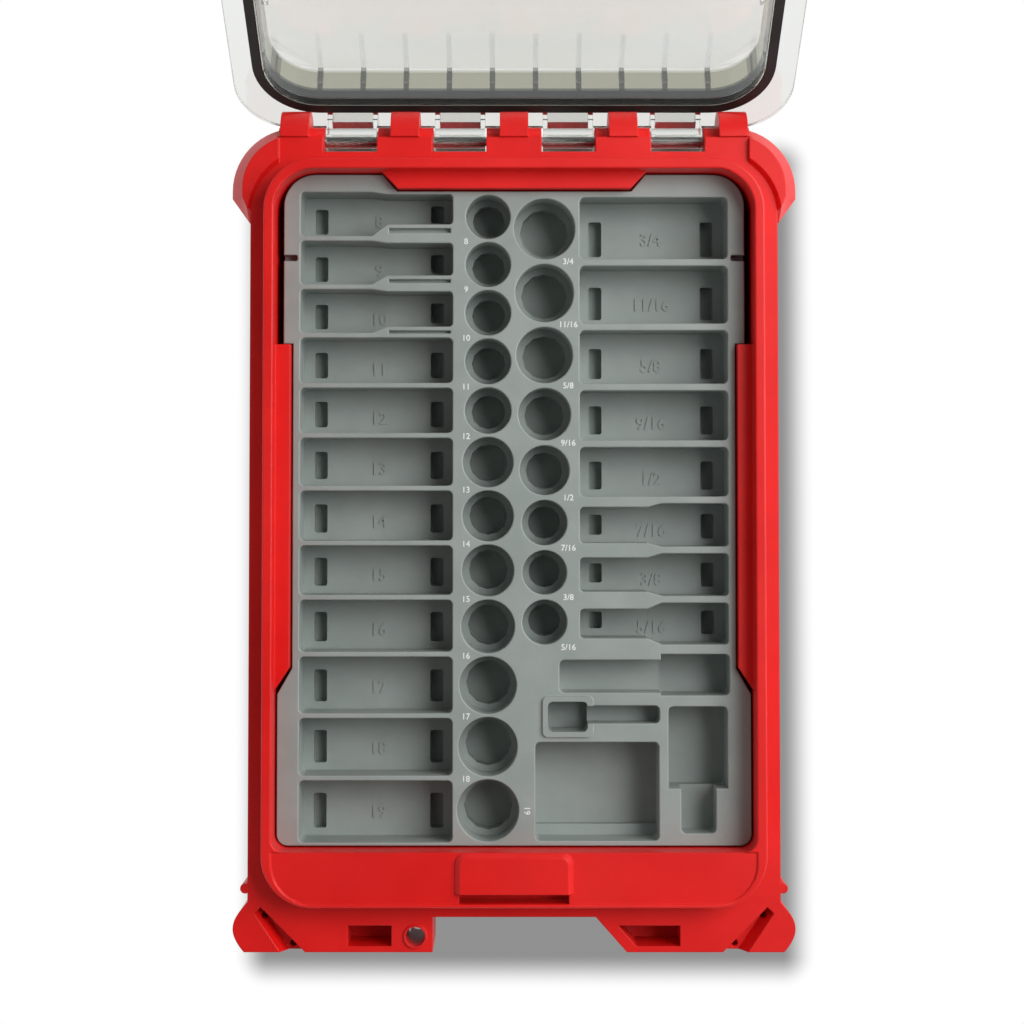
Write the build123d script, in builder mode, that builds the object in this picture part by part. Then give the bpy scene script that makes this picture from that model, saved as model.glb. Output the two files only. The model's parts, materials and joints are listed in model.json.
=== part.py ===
"""Socket organizer box: a low moulded case with a hinged clear lid and a removable socket tray.

Frame: millimetres, +Z up, +X right, -Y front. The origin is the centre of the case's underside.
The lid is modelled open, at the end of its travel, in a plane that turns about the hinge line.
"""

from build123d import *
import math
import os

# ---- driving dimensions -------------------------------------------------------------------

# case body
BODY_HALF_WIDTH = 116.0
BODY_BACK_Y = 166.4
BODY_FRONT_Y = -168.3
BODY_CORNER = 29.0
BODY_FRONT_CORNER = 8.0
LEDGE_Z = 35.0
RIM_TOP_Z = 48.0
RIM_OUTER_HALF = 108.8
RIM_BACK_Y = 161.4
RIM_FRONT_Y = -162.0
RIM_CORNER = 22.0
RIM_WALL = 4.4
RIM_FRONT_WALL = 1.6
RIM_ROUND = 0.7
FLOOR = 3.0
DECK_REAR_Y = -138.4
DECK_Z = 47.2
DECK_WALL = 2.6
WALL_SKIN = 2.8
RIB = 2.0
CAVITY_FRONT_CORNER = 6.0

# ledges that key the tray
BACK_LEDGE_Y = 149.6
BACK_LEDGE_HALF = 51.0
BACK_LEDGE_FLARE = 7.0
KEY_LEDGE_Z = 39.0
SIDE_LEDGE_INSET = 6.6
SIDE_LEDGE_BACK_Y = 81.0
SIDE_LEDGE_FRONT_Y = -60.0

# corner bumpers and front feet
BUMPER_OUT = 125.0
BUMPER_BACK_Y = 177.0
BUMPER_FRONT_Y = 136.0
BUMPER_ROOT_X = 103.5
BUMPER_LEAD = 1.5
BUMPER_NOSE = 10.5
BUMPER_CORNER_Y = 27.0
BUMPER_SHOULDER_Z = 27.0
BUMPER_CREST_Z = 37.3
BUMPER_SLOPE = 5.6
FRONT_Y = -183.5
FOOT_INNER_X = 99.0
FOOT_NOSE_X = 122.4
FOOT_LENGTH = 23.0
FOOT_STUD_X = 117.0
FOOT_STUD_Y = -156.0
FOOT_STUD_R = 2.2
TRENCH_FRONT_X = 90.8
TRENCH_ANGLE = 45.0
TRENCH_LENGTH = 27.5
TRENCH_MOUTH = 11.0
TRENCH_HEEL = 4.0
TRENCH_DEPTH = 7.0
TRENCH_SLOPE = 3.0
TRENCH_HOLE_R = 1.5
TRENCH_HOLE_DEPTH = 6.0
TRENCH_HOLES = ((6.0, 2.2), (23.5, 2.0))

# front blocks, catch bars and padlock eye
RECESS_LEFT_X = -35.4
RECESS_RIGHT_X = 35.5
RECESS_RIGHT_FLARE = 13.6
CATCH_CENTRE_X = 62.8
CATCH_WIDTH = 19.0
CATCH_FLARE = 8.0
CATCH_BACK_Y = -172.0
CATCH_BAR = 2.6
CATCH_BAR_BOTTOM_Z = 13.0
CATCH_FLOOR = 1.8
HOOK_RECESS = 5.0
LATCH_SIDE_GAP = 0.6
PADLOCK_X = -42.9
PADLOCK_Y = -176.7
PADLOCK_R = 4.2
PADLOCK_COLLAR = 0.9
PADLOCK_COLLAR_RISE = 0.8

# deck bump and finger slot
BUMP_HALF = 25.3
BUMP_FRONT_Y = -156.0
BUMP_RISE = 2.6
BUMP_CORNER = 5.0
BUMP_SLOPE = 2.0
SLOT_HALF = 23.6
SLOT_WIDTH = 4.4
SLOT_DEPTH = 12.2

# hinge
HINGE_Y = 173.0
HINGE_Z = 23.0
LUG_PITCH = 48.2
LUG_WIDTH = 22.6
LUG_SIDE_GAP = 0.6
LUG_BARREL_R = 6.0
LUG_ARM = 5.3
ROD_R = 2.0
ROD_FIT = 0.02
ROD_RUNNING = 0.07
KNUCKLE_R = 13.2
KNUCKLE_WIDTH = 12.6
BLOCK_R = 6.2
BLOCK_ROOT = 9.0
KNUCKLE_OUTER_X = 96.8
STOP_Y = 8.3
STOP_DROP = 13.0
ROD_STOP_X = 3.0
ROD_END_X = 103.0
LID_OPEN_ANGLE = 125.0

# lid
LID_HALF_WIDTH = 124.3
LID_BACK_Y = 179.5
LID_FRONT_Y = -178.0
LID_CORNER = 26.0
FLANGE_Z = 38.0
FLANGE_THICK = 3.0
LID_CLEAR = 0.7
LID_WALL = 2.4
LID_DRAFT = 1.0
LID_CEILING_Z = 57.0
LID_TOP_Z = 60.0
LID_EDGE_ROUND = 1.5
STACK_RIB_RISE = 4.0
STACK_RIB_X = (107.9, 109.4)
STACK_RIB_Y = (-95.0, 125.0)
STACK_CATCH_HALF = 8.5
STACK_CATCH_Y = (-158.5, -156.5)
STACK_CATCH_LIP_Y = -154.3
STACK_CATCH_RISE = 7.0
STACK_CATCH_LIP = 1.9
PADLOCK_TAB_R = 6.6
LID_INNER_RIB_PITCH = 19.4
LID_INNER_RIBS = 10
LID_INNER_RIB_WIDTH = 2.4
LID_INNER_RIB_DEPTH = 2.0
LID_INNER_RIB_START = 0.8
GASKET_CLEAR = 1.5
GASKET_WIDTH = 4.3
GASKET_GROOVE = 1.6
GASKET_REST_GAP = 0.3
GASKET_FIT = 0.1
GASKET_LIP_GAP = 0.5
LUG_SETBACK = 1.0
LUG_SKIN = 2.2

# latches
LATCH_WIDTH = 32.0
LATCH_THICK = 3.0
LATCH_PIVOT_Y = -187.2
LATCH_PIVOT_Z = 42.0
LATCH_BARREL_R = 3.6
LATCH_PIN_R = 1.5
LATCH_REST_ANGLE = 60.0
LATCH_HOOK_REACH = 3.4
LATCH_HOOK_THICK = 3.0
LATCH_GAP = 0.35
LATCH_TAB = 8.0
LATCH_EAR = 5.0
LATCH_EAR_GAP = 0.4
LATCH_EAR_R = 3.4
LATCH_SHOULDER = 6.0
LATCH_FACE_Y = -183.85
LATCH_GRIP_PITCH = 3.4
LATCH_GRIP_RISE = 0.8
LATCH_GRIP_RIBS = 4

# tray
TRAY_TOP_Z = 34.0
TRAY_GAP = 0.6
TRAY_BACK_HALF = 101.4
TRAY_FRONT_HALF = 103.7
TRAY_FRONT_STEP_Y = -72.0
TRAY_BACK_CORNER = 14.0
TRAY_FRONT_CORNER = 5.0
TRAY_EDGE = 0.6
TRAY_FLOOR_GAP = 0.3
FINGER_SLOT_Y = 119.5
FINGER_SLOT_LENGTH = 6.0
FINGER_SLOT_WIDTH = 2.6
FINGER_SLOT_DEPTH = 6.0

# long wells for the deep metric sockets: nominal size and well width, from the back
LONG_WELLS = [
    (8, 19.4),
    (9, 19.2),
    (10, 19.2),
    (11, 19.9),
    (12, 19.8),
    (13, 21.0),
    (14, 21.8),
    (15, 21.6),
    (16, 22.6),
    (17, 24.6),
    (18, 24.9),
    (19, 26.8),
]
LONG_WELL_X = (-94.0, -27.0)
LONG_WELL_BACK_Y = 148.7
LONG_WELL_WALL = 2.2
LONG_WELL_DEPTH = 20.0
NECKED_LONG_WELLS = 3
LONG_NECK_X = (-62.7, -56.1)
LONG_NECK_WIDTH = (13.3, 14.3, 15.5)
LONG_NECK_GROOVE = (1.9, 1.4, 1.2)
WELL_CORNER = 2.2
STEP_CORNER = 0.5
NECK_GROOVE_WALL = 1.8
NECK_GROOVE_DEPTH = 3.0
NECK_GROOVE_INSET = 1.0
CRADLE_INSET = 4.6
CRADLE_LENGTH = 5.8
CRADLE_FRONT = 3.2
CRADLE_SHARE = 0.58
CRADLE_DEPTH = 6.0

# round seats for the shallow sockets: seat diameters from the back
METRIC_SEATS = [19.5, 19.8, 20.0, 20.1, 20.4, 22.1, 22.3, 22.7, 23.4, 25.0, 25.7, 26.9]
INCH_SEATS = [26.8, 25.6, 24.7, 23.0, 21.8, 19.8, 19.4, 19.6]
METRIC_SEAT_X = -11.4
METRIC_SEAT_BACK_Y = 147.4
METRIC_SEAT_WALL = 1.4
INCH_SEAT_X = 13.4
INCH_SEAT_BACK_Y = 145.8
INCH_SEAT_WALL = 2.2
SEAT_DEPTH = 16.0
SEAT_LEDGE = 2.6
SEAT_DRAIN_DEPTH = 9.0

# cross wells for the deep inch sockets: well widths from the back
CROSS_WELLS = [27.2, 25.4, 23.4, 21.8, 21.6, 18.8, 18.5, 18.1]
CROSS_WELL_X = (28.9, 94.0)
CROSS_WELL_BACK_Y = 146.3
CROSS_WELL_WALL = 3.1
CROSS_WELL_DEPTH = 20.0
NECKED_CROSS_WELLS = 3
CROSS_NECK_X = (58.5, 64.6)
CROSS_NECK_WIDTH = (15.6, 14.8, 12.8)

# seams between the four tray sections
SEAM_LEFT_X = -26.0
SEAM_RIGHT_X = 27.8
SEAM_FRONT_X = 7.9
SEAM_Y = -52.3

# accessory bins
EXTENSION_BIN = ((19.9, 64.2), (-71.2, -57.0))
EXTENSION_HEAD = ((64.2, 94.4), (-72.4, -54.5))
EXTENSION_BIN_DEPTH = 15.0
EXTENSION_HEAD_DEPTH = 19.0
ADAPTER_BIN = ((14.8, 32.2), (-88.2, -75.0))
ADAPTER_SLOT = ((32.2, 63.6), (-84.6, -76.9))
ADAPTER_COLLAR = 2.2
ADAPTER_COLLAR_RISE = 1.2
ADAPTER_BIN_DEPTH = 18.0
ADAPTER_SLOT_DEPTH = 12.0
BIT_BIN = ((9.3, 63.3), (-135.6, -92.8))
BIT_BIN_DEPTH = 22.0
BIT_BIN_STEP = 4.8
BIT_BIN_STEP_RISE = 5.0
RATCHET_BIN = ((67.5, 93.4), (-112.9, -77.3))
RATCHET_HANDLE = ((73.0, 88.2), (-132.4, -112.9))
RATCHET_BIN_DEPTH = 20.0
RATCHET_HANDLE_DEPTH = 14.0

# stacking latch under the front deck
STACK_POCKET_HALF = 42.0
STACK_POCKET_BACK_Y = -142.5
STACK_POCKET_FRONT_Y = -166.4
STACK_POCKET_Z = 32.0
STACK_SLIDE_HALF = 24.0
STACK_SLIDE_LENGTH = 12.0
STACK_SLIDE_Z = (8.0, 20.0)
STACK_TRAVEL = 4.0
STACK_WINDOW_HALF = 16.0
STACK_WINDOW_Z = (9.6, 18.4)
STACK_PAD_HALF = 15.4
STACK_RUNNING = 0.3
STACK_STOP_GAP = 0.05
STACK_HOOK_HALF = 9.5
STACK_ARM_Y = (-152.6, -149.6)
STACK_NOSE_Y = -156.2
STACK_NOSE = 1.4
STACK_ARM_TOP_Z = 12.0
COVER_THICK = 2.0
COVER_RECESS = 1.0
COVER_FIT = 0.3
COVER_RAIL = 2.0
COVER_RAIL_Z = 16.0
COVER_SLOT_HALF = 10.5
COVER_SLOT_Y = (-159.2, -153.6)
SPRING_X = 16.0
SPRING_Z = 14.0
SPRING_R = 2.4
SPRING_WIRE = 0.6
SPRING_COILS = 6
SPRING_PIN_R = 1.6
SPRING_PIN = 3.0
BOSS_R = 3.6
BOSS_X = 36.0
BOSS_Y = (-162.0, -147.0)
SLIDE_RIB_X = 20.0
SCREW_FIT = 0.05
SCREW_R = 1.4
SCREW_HEAD_R = 2.8
SCREW_HEAD = 1.6
SCREW_SINK = 0.8
SCREW_LENGTH = 12.0
SCREW_DRIVE = 2.0
SCREW_DRIVE_DEPTH = 1.0

# ---- derived places -----------------------------------------------------------------------

RIM_INNER_HALF = RIM_OUTER_HALF - RIM_WALL
CAVITY_BACK_Y = RIM_BACK_Y - RIM_WALL
LUG_CENTRES = [LUG_PITCH * (i - 1.5) for i in range(4)]
BLOCK_CENTRES = [LUG_PITCH * (i - 1) for i in range(3)]
BLOCK_WIDTH = LUG_PITCH - LUG_WIDTH - 2 * LUG_SIDE_GAP
OUTER_BLOCK_INNER_X = LUG_CENTRES[3] + LUG_WIDTH / 2 + LUG_SIDE_GAP
SIDE_LEDGE_X = RIM_INNER_HALF - SIDE_LEDGE_INSET
TRAY_BACK_Y = CAVITY_BACK_Y - TRAY_GAP
TRAY_FRONT_Y = DECK_REAR_Y + TRAY_GAP
TRAY_BOTTOM_Z = FLOOR + TRAY_FLOOR_GAP
TRAY_HEIGHT = TRAY_TOP_Z - TRAY_BOTTOM_Z
GASKET_BOTTOM_Z = LEDGE_Z + GASKET_REST_GAP
CATCH_FRONT_Y = FRONT_Y + CATCH_BAR
LATCH_CENTRES = (-CATCH_CENTRE_X, CATCH_CENTRE_X)
LATCH_HOOK_TOP_Z = CATCH_BAR_BOTTOM_Z - LATCH_GAP
SLIDE_Y = (STACK_POCKET_FRONT_Y + STACK_STOP_GAP, STACK_POCKET_FRONT_Y + STACK_STOP_GAP + STACK_SLIDE_LENGTH)
COVER_TOP_Z = COVER_RECESS + COVER_THICK


def turned(base, angle, pivot_y, pivot_z):
    """A plane with a base plane's coordinates, turned back about the line along X through a pivot."""
    turn = math.radians(angle)
    y_axis = Vector(0, math.cos(turn), -math.sin(turn))
    z_axis = Vector(0, math.sin(turn), math.cos(turn))
    origin = Vector(0, pivot_y, pivot_z) - y_axis * pivot_y - z_axis * pivot_z
    up = base.from_local_coords(z_axis) - base.origin
    return Plane(origin=base.from_local_coords(origin), x_dir=base.x_dir, z_dir=up)


def side_of(base, x):
    """The plane across X at x, whose coordinates are a base plane's Y and Z."""
    return Plane(origin=base.from_local_coords(Vector(x, 0, 0)), x_dir=base.y_dir, z_dir=base.x_dir)


LID = turned(Plane.XY, LID_OPEN_ANGLE, HINGE_Y, HINGE_Z)
LATCH = turned(LID, LATCH_REST_ANGLE, LATCH_PIVOT_Y, LATCH_PIVOT_Z)


def block(base, x_range, y_range, z_range, mode=Mode.ADD):
    """A square block between three pairs of limits, in a base plane's coordinates."""
    centre = Vector((x_range[0] + x_range[1]) / 2, (y_range[0] + y_range[1]) / 2, z_range[0])
    level = Plane(origin=base.from_local_coords(centre), x_dir=base.x_dir, z_dir=base.z_dir)
    with BuildSketch(level) as outline:
        Rectangle(x_range[1] - x_range[0], y_range[1] - y_range[0])
    extrude(outline.sketch, amount=z_range[1] - z_range[0], mode=mode)


def rounded_slab(base, half, y_range, corner, z_range, mode=Mode.ADD, taper=0):
    """A slab with rounded corners, centred on X, in a base plane's coordinates."""
    centre = Vector(0, (y_range[0] + y_range[1]) / 2, z_range[0])
    level = Plane(origin=base.from_local_coords(centre), x_dir=base.x_dir, z_dir=base.z_dir)
    with BuildSketch(level) as outline:
        RectangleRounded(2 * half, y_range[1] - y_range[0], corner)
    extrude(outline.sketch, amount=z_range[1] - z_range[0], mode=mode, taper=taper)


def rod(base, x_range, y, z, radius, mode=Mode.ADD):
    """A round bar along X, or a bore for one, in a base plane's coordinates."""
    with BuildSketch(side_of(base, x_range[0])) as end:
        with Locations((y, z)):
            Circle(radius)
    extrude(end.sketch, amount=x_range[1] - x_range[0], mode=mode)


def wells_from_back(back_y, wall, widths):
    """The Y limits of a row of wells, each one wall in front of the last."""
    limits = []
    for width in widths:
        limits.append((back_y - width, back_y))
        back_y -= width + wall
    return limits


def middle(limits):
    return (limits[0] + limits[1]) / 2


LONG_WELL_LIMITS = wells_from_back(LONG_WELL_BACK_Y, LONG_WELL_WALL, [width for _, width in LONG_WELLS])
CROSS_WELL_LIMITS = wells_from_back(CROSS_WELL_BACK_Y, CROSS_WELL_WALL, CROSS_WELLS)


# ---- case ---------------------------------------------------------------------------------


def bumper_outline(side, inset):
    """One back corner bumper seen from above, drawn inset by a distance."""
    out = side * (BUMPER_OUT - inset)
    back = BUMPER_BACK_Y - inset
    with BuildLine() as border:
        front = Line(
            (side * BUMPER_ROOT_X, BUMPER_FRONT_Y + inset),
            (side * (BODY_HALF_WIDTH + BUMPER_LEAD), BUMPER_FRONT_Y + inset),
        )
        nose = Line(front @ 1, (out, BUMPER_FRONT_Y + BUMPER_NOSE))
        flank = Line(nose @ 1, (out, BUMPER_BACK_Y - BUMPER_CORNER_Y))
        corner = TangentArc(flank @ 1, (side * (BUMPER_ROOT_X + BUMPER_LEAD), back), tangent=(0, 1))
        rear = Line(corner @ 1, (side * BUMPER_ROOT_X, back))
        Line(rear @ 1, front @ 0)
    make_face(border.edges())


def body_outline():
    """The case body seen from above, with larger corners at the back than at the front."""
    with Locations((0, (BODY_FRONT_Y + BODY_BACK_Y) / 2)):
        body = Rectangle(2 * BODY_HALF_WIDTH, BODY_BACK_Y - BODY_FRONT_Y)
    fillet(body.vertices().group_by(Axis.Y)[-1], BODY_CORNER)
    fillet(body.vertices().group_by(Axis.Y)[0], BODY_FRONT_CORNER)


def foot_outline(side):
    """One front foot seen from above: a rounded lobe outside the body's corner."""
    root = side * (BODY_HALF_WIDTH - 1)
    with BuildLine() as border:
        front = Line((side * FOOT_INNER_X, FRONT_Y), (side * (FOOT_NOSE_X - 4.9), FRONT_Y))
        nose = Spline(
            front @ 1,
            (side * (FOOT_NOSE_X - 1.8), FRONT_Y + 4.2),
            (side * FOOT_NOSE_X, FRONT_Y + 9.6),
            (side * (FOOT_NOSE_X - 1.1), FRONT_Y + 14.6),
            (side * (FOOT_NOSE_X - 4.2), FRONT_Y + 19.0),
            (root, FRONT_Y + FOOT_LENGTH),
        )
        back = Line(nose @ 1, (side * FOOT_INNER_X, FRONT_Y + FOOT_LENGTH))
        Line(back @ 1, front @ 0)
    make_face(border.edges())


with BuildPart() as base_shell:
    # body up to the sealing ledge, then the plateau that becomes the rim
    with BuildSketch():
        body_outline()
    extrude(amount=LEDGE_Z)
    rounded_slab(Plane.XY, RIM_OUTER_HALF, (RIM_FRONT_Y, RIM_BACK_Y), RIM_CORNER, (0, RIM_TOP_Z))

    # corner bumpers: upright to the shoulder, then a slope in to the crest
    for side in (-1, 1):
        with BuildSketch() as bumper_foot:
            bumper_outline(side, 0)
        extrude(amount=BUMPER_SHOULDER_Z)
        with BuildSketch(Plane.XY.offset(BUMPER_SHOULDER_Z)):
            bumper_outline(side, 0)
        with BuildSketch(Plane.XY.offset(BUMPER_CREST_Z)):
            bumper_outline(side, BUMPER_SLOPE)
        loft()

    # gutter inside the crest, where the lid gasket lands
    with BuildSketch(Plane.XY.offset(LEDGE_Z)):
        body_outline()
        with Locations((0, (RIM_FRONT_Y + RIM_BACK_Y) / 2)):
            RectangleRounded(2 * RIM_OUTER_HALF, RIM_BACK_Y - RIM_FRONT_Y, RIM_CORNER, mode=Mode.SUBTRACT)
    extrude(amount=BUMPER_CREST_Z - LEDGE_Z + 1, mode=Mode.SUBTRACT, taper=-35)

    # front feet and the two front blocks beside the hand recess
    for side in (-1, 1):
        with BuildSketch():
            foot_outline(side)
            with Locations((side * FOOT_STUD_X, FOOT_STUD_Y)):
                Circle(FOOT_STUD_R)
        extrude(amount=LEDGE_Z)
    with BuildSketch():
        with BuildLine():
            Polyline(
                (-FOOT_INNER_X - 1, FRONT_Y),
                (RECESS_LEFT_X, FRONT_Y),
                (RECESS_LEFT_X, BODY_FRONT_Y + 1),
                (-FOOT_INNER_X - 1, BODY_FRONT_Y + 1),
                (-FOOT_INNER_X - 1, FRONT_Y),
            )
        make_face()
        with BuildLine():
            Polyline(
                (FOOT_INNER_X + 1, FRONT_Y),
                (RECESS_RIGHT_X + RECESS_RIGHT_FLARE, FRONT_Y),
                (RECESS_RIGHT_X, BODY_FRONT_Y),
                (RECESS_RIGHT_X, BODY_FRONT_Y + 1),
                (FOOT_INNER_X + 1, BODY_FRONT_Y + 1),
                (FOOT_INNER_X + 1, FRONT_Y),
            )
        make_face()
    extrude(amount=LEDGE_Z)

    # cavity for the tray
    with BuildSketch(Plane.XY.offset(FLOOR)) as cavity_outline:
        with Locations((0, (DECK_REAR_Y + CAVITY_BACK_Y) / 2)):
            Rectangle(2 * RIM_INNER_HALF, CAVITY_BACK_Y - DECK_REAR_Y)
        corners = cavity_outline.vertices().group_by(Axis.Y)
        fillet(corners[-1], RIM_CORNER - RIM_WALL)
        fillet(cavity_outline.vertices().group_by(Axis.Y)[0], CAVITY_FRONT_CORNER)
    extrude(amount=RIM_TOP_Z, mode=Mode.SUBTRACT)

    # front deck a little below the rim, with its raised bump and finger slot
    with BuildSketch(Plane.XY.offset(DECK_Z)) as deck_outline:
        with Locations((0, (RIM_FRONT_Y + RIM_FRONT_WALL + DECK_REAR_Y) / 2)):
            Rectangle(2 * RIM_INNER_HALF, DECK_REAR_Y - RIM_FRONT_Y - RIM_FRONT_WALL)
        fillet(deck_outline.vertices().group_by(Axis.Y)[0], RIM_CORNER - RIM_WALL)
    extrude(amount=RIM_TOP_Z - DECK_Z, mode=Mode.SUBTRACT)
    fillet(base_shell.edges().filter_by_position(Axis.Z, RIM_TOP_Z - 0.01, RIM_TOP_Z + 0.01), RIM_ROUND)
    with BuildSketch(Plane.XY.offset(DECK_Z)) as bump_outline:
        with Locations((0, (BUMP_FRONT_Y + DECK_REAR_Y) / 2)):
            Rectangle(2 * BUMP_HALF, DECK_REAR_Y - BUMP_FRONT_Y)
        fillet(bump_outline.vertices().group_by(Axis.Y)[-1], BUMP_CORNER)
    extrude(amount=BUMP_RISE)
    bump_top = base_shell.faces().filter_by(Plane.XY).sort_by(Axis.Z)[-1]
    chamfer(bump_top.edges().filter_by(lambda edge: edge.center().Y > BUMP_FRONT_Y + 0.01), BUMP_SLOPE)

    # ledges that key into the tray's back and sides
    with BuildSketch(Plane.XY.offset(FLOOR)):
        with BuildLine():
            Polyline(
                (-BACK_LEDGE_HALF - BACK_LEDGE_FLARE, CAVITY_BACK_Y + 1),
                (-BACK_LEDGE_HALF - BACK_LEDGE_FLARE, CAVITY_BACK_Y),
                (-BACK_LEDGE_HALF, BACK_LEDGE_Y),
                (BACK_LEDGE_HALF, BACK_LEDGE_Y),
                (BACK_LEDGE_HALF + BACK_LEDGE_FLARE, CAVITY_BACK_Y),
                (BACK_LEDGE_HALF + BACK_LEDGE_FLARE, CAVITY_BACK_Y + 1),
                (-BACK_LEDGE_HALF - BACK_LEDGE_FLARE, CAVITY_BACK_Y + 1),
            )
        make_face()
        for side in (-1, 1):
            with BuildLine():
                Polyline(
                    (side * (RIM_INNER_HALF + 1), SIDE_LEDGE_BACK_Y),
                    (side * SIDE_LEDGE_X, SIDE_LEDGE_BACK_Y),
                    (side * SIDE_LEDGE_X, SIDE_LEDGE_FRONT_Y),
                    (side * RIM_INNER_HALF, SIDE_LEDGE_FRONT_Y - 1.5 * SIDE_LEDGE_INSET),
                    (side * (RIM_INNER_HALF + 1), SIDE_LEDGE_FRONT_Y - 1.5 * SIDE_LEDGE_INSET),
                    (side * (RIM_INNER_HALF + 1), SIDE_LEDGE_BACK_Y),
                )
            make_face()
    extrude(amount=KEY_LEDGE_Z - FLOOR)

    # stacking latch pocket, open below, and the finger slot in front of the bump
    block(
        Plane.XY,
        (-STACK_POCKET_HALF, STACK_POCKET_HALF),
        (STACK_POCKET_FRONT_Y, STACK_POCKET_BACK_Y),
        (0, STACK_POCKET_Z),
        Mode.SUBTRACT,
    )
    block(
        Plane.XY,
        (-SLOT_HALF, SLOT_HALF),
        (BUMP_FRONT_Y - SLOT_WIDTH, BUMP_FRONT_Y),
        (DECK_Z - SLOT_DEPTH, DECK_Z + BUMP_RISE),
        Mode.SUBTRACT,
    )

    # catch slots, with a recess below each one that leaves a bar for the latch hook
    for side in (-1, 1):
        catch_x = (side * CATCH_CENTRE_X - CATCH_WIDTH / 2, side * CATCH_CENTRE_X + CATCH_WIDTH / 2)
        slot_z = (CATCH_BAR_BOTTOM_Z + CATCH_FLOOR, LEDGE_Z)
        block(Plane.XY, catch_x, (CATCH_FRONT_Y, CATCH_BACK_Y), slot_z, Mode.SUBTRACT)
        latch_x = (
            side * CATCH_CENTRE_X - LATCH_WIDTH / 2 - LATCH_SIDE_GAP,
            side * CATCH_CENTRE_X + LATCH_WIDTH / 2 + LATCH_SIDE_GAP,
        )
        hook_y = (FRONT_Y, FRONT_Y + HOOK_RECESS)
        block(Plane.XY, latch_x, hook_y, (0, CATCH_BAR_BOTTOM_Z), Mode.SUBTRACT)

    # the right slot is flared beside the slanting end of the hand recess
    slot_edge = CATCH_CENTRE_X - CATCH_WIDTH / 2
    with BuildSketch(Plane.XY.offset(LEDGE_Z)):
        with BuildLine():
            Polyline(
                (slot_edge + 1, CATCH_FRONT_Y),
                (slot_edge, CATCH_FRONT_Y),
                (slot_edge - CATCH_FLARE, CATCH_BACK_Y),
                (slot_edge + 1, CATCH_BACK_Y),
                close=True,
            )
        make_face()
    extrude(amount=CATCH_BAR_BOTTOM_Z + CATCH_FLOOR - LEDGE_Z, mode=Mode.SUBTRACT)

    # padlock eye with its raised collar
    with BuildSketch(Plane.XY.offset(LEDGE_Z)):
        with Locations((PADLOCK_X, PADLOCK_Y)):
            Circle(PADLOCK_R + PADLOCK_COLLAR)
    extrude(amount=PADLOCK_COLLAR_RISE)
    with BuildSketch():
        with Locations((PADLOCK_X, PADLOCK_Y)):
            Circle(PADLOCK_R)
    extrude(amount=LEDGE_Z + PADLOCK_COLLAR_RISE, mode=Mode.SUBTRACT)

    # a slanting trench between each front block and its foot, wider to the front, two holes in it
    for side in (-1, 1):
        slant = math.radians(TRENCH_ANGLE)
        along = Vector(side * math.cos(slant), math.sin(slant))
        across = Vector(side * math.sin(slant), -math.cos(slant))
        corner = Vector(side * TRENCH_FRONT_X, FRONT_Y)
        heel = corner + along * TRENCH_LENGTH
        foot_side = (heel + across * TRENCH_HEEL, corner + Vector(side * TRENCH_MOUTH, 0))
        run_out = (foot_side[1] - foot_side[0]).normalized() * TRENCH_HEEL
        for depth, inset in ((0, 0), (TRENCH_DEPTH, TRENCH_SLOPE)):
            inward = across * -inset
            with BuildSketch(Plane.XY.offset(LEDGE_Z - depth)):
                with BuildLine():
                    Polyline(
                        corner - along * TRENCH_HEEL,
                        heel,
                        foot_side[0] + inward,
                        foot_side[1] + run_out + inward,
                        close=True,
                    )
                make_face()
        loft(mode=Mode.SUBTRACT)
        for run, offset in TRENCH_HOLES:
            with BuildSketch(Plane.XY.offset(LEDGE_Z)):
                with Locations(corner + along * run + across * offset):
                    Circle(TRENCH_HOLE_R)
            extrude(amount=-TRENCH_DEPTH - TRENCH_HOLE_DEPTH, mode=Mode.SUBTRACT)

    # hinge blocks, with a round knuckle behind each one
    block_x = [(centre - BLOCK_WIDTH / 2, centre + BLOCK_WIDTH / 2) for centre in BLOCK_CENTRES]
    block_x += [(OUTER_BLOCK_INNER_X, BUMPER_ROOT_X + 1), (-BUMPER_ROOT_X - 1, -OUTER_BLOCK_INNER_X)]
    for limits in block_x:
        with BuildSketch(side_of(Plane.XY, limits[0])):
            with Locations((HINGE_Y, HINGE_Z)):
                Circle(BLOCK_R)
            with Locations(((HINGE_Y + BODY_BACK_Y - BLOCK_ROOT) / 2, LEDGE_Z / 2)):
                Rectangle(HINGE_Y - BODY_BACK_Y + BLOCK_ROOT, LEDGE_Z)
            with Locations((HINGE_Y + BLOCK_R / 2, HINGE_Z / 2)):
                Rectangle(BLOCK_R, HINGE_Z)
        extrude(amount=limits[1] - limits[0])
    for centre in BLOCK_CENTRES + [KNUCKLE_OUTER_X, -KNUCKLE_OUTER_X]:
        with BuildSketch(side_of(Plane.XY, centre - KNUCKLE_WIDTH / 2)):
            with Locations((HINGE_Y, HINGE_Z)):
                Circle(KNUCKLE_R)
            with Locations((HINGE_Y + STOP_Y / 2, (HINGE_Z - STOP_DROP) / 2)):
                Rectangle(STOP_Y, HINGE_Z - STOP_DROP)
            with Locations((HINGE_Y - KNUCKLE_R, LEDGE_Z)):
                Rectangle(2 * KNUCKLE_R, 2 * LEDGE_Z, mode=Mode.SUBTRACT)
        extrude(amount=KNUCKLE_WIDTH)
    rod(Plane.XY, (ROD_STOP_X, BUMPER_OUT), HINGE_Y, HINGE_Z, ROD_R + ROD_FIT, Mode.SUBTRACT)
    rod(Plane.XY, (-BUMPER_OUT, -ROD_STOP_X), HINGE_Y, HINGE_Z, ROD_R + ROD_FIT, Mode.SUBTRACT)

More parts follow.
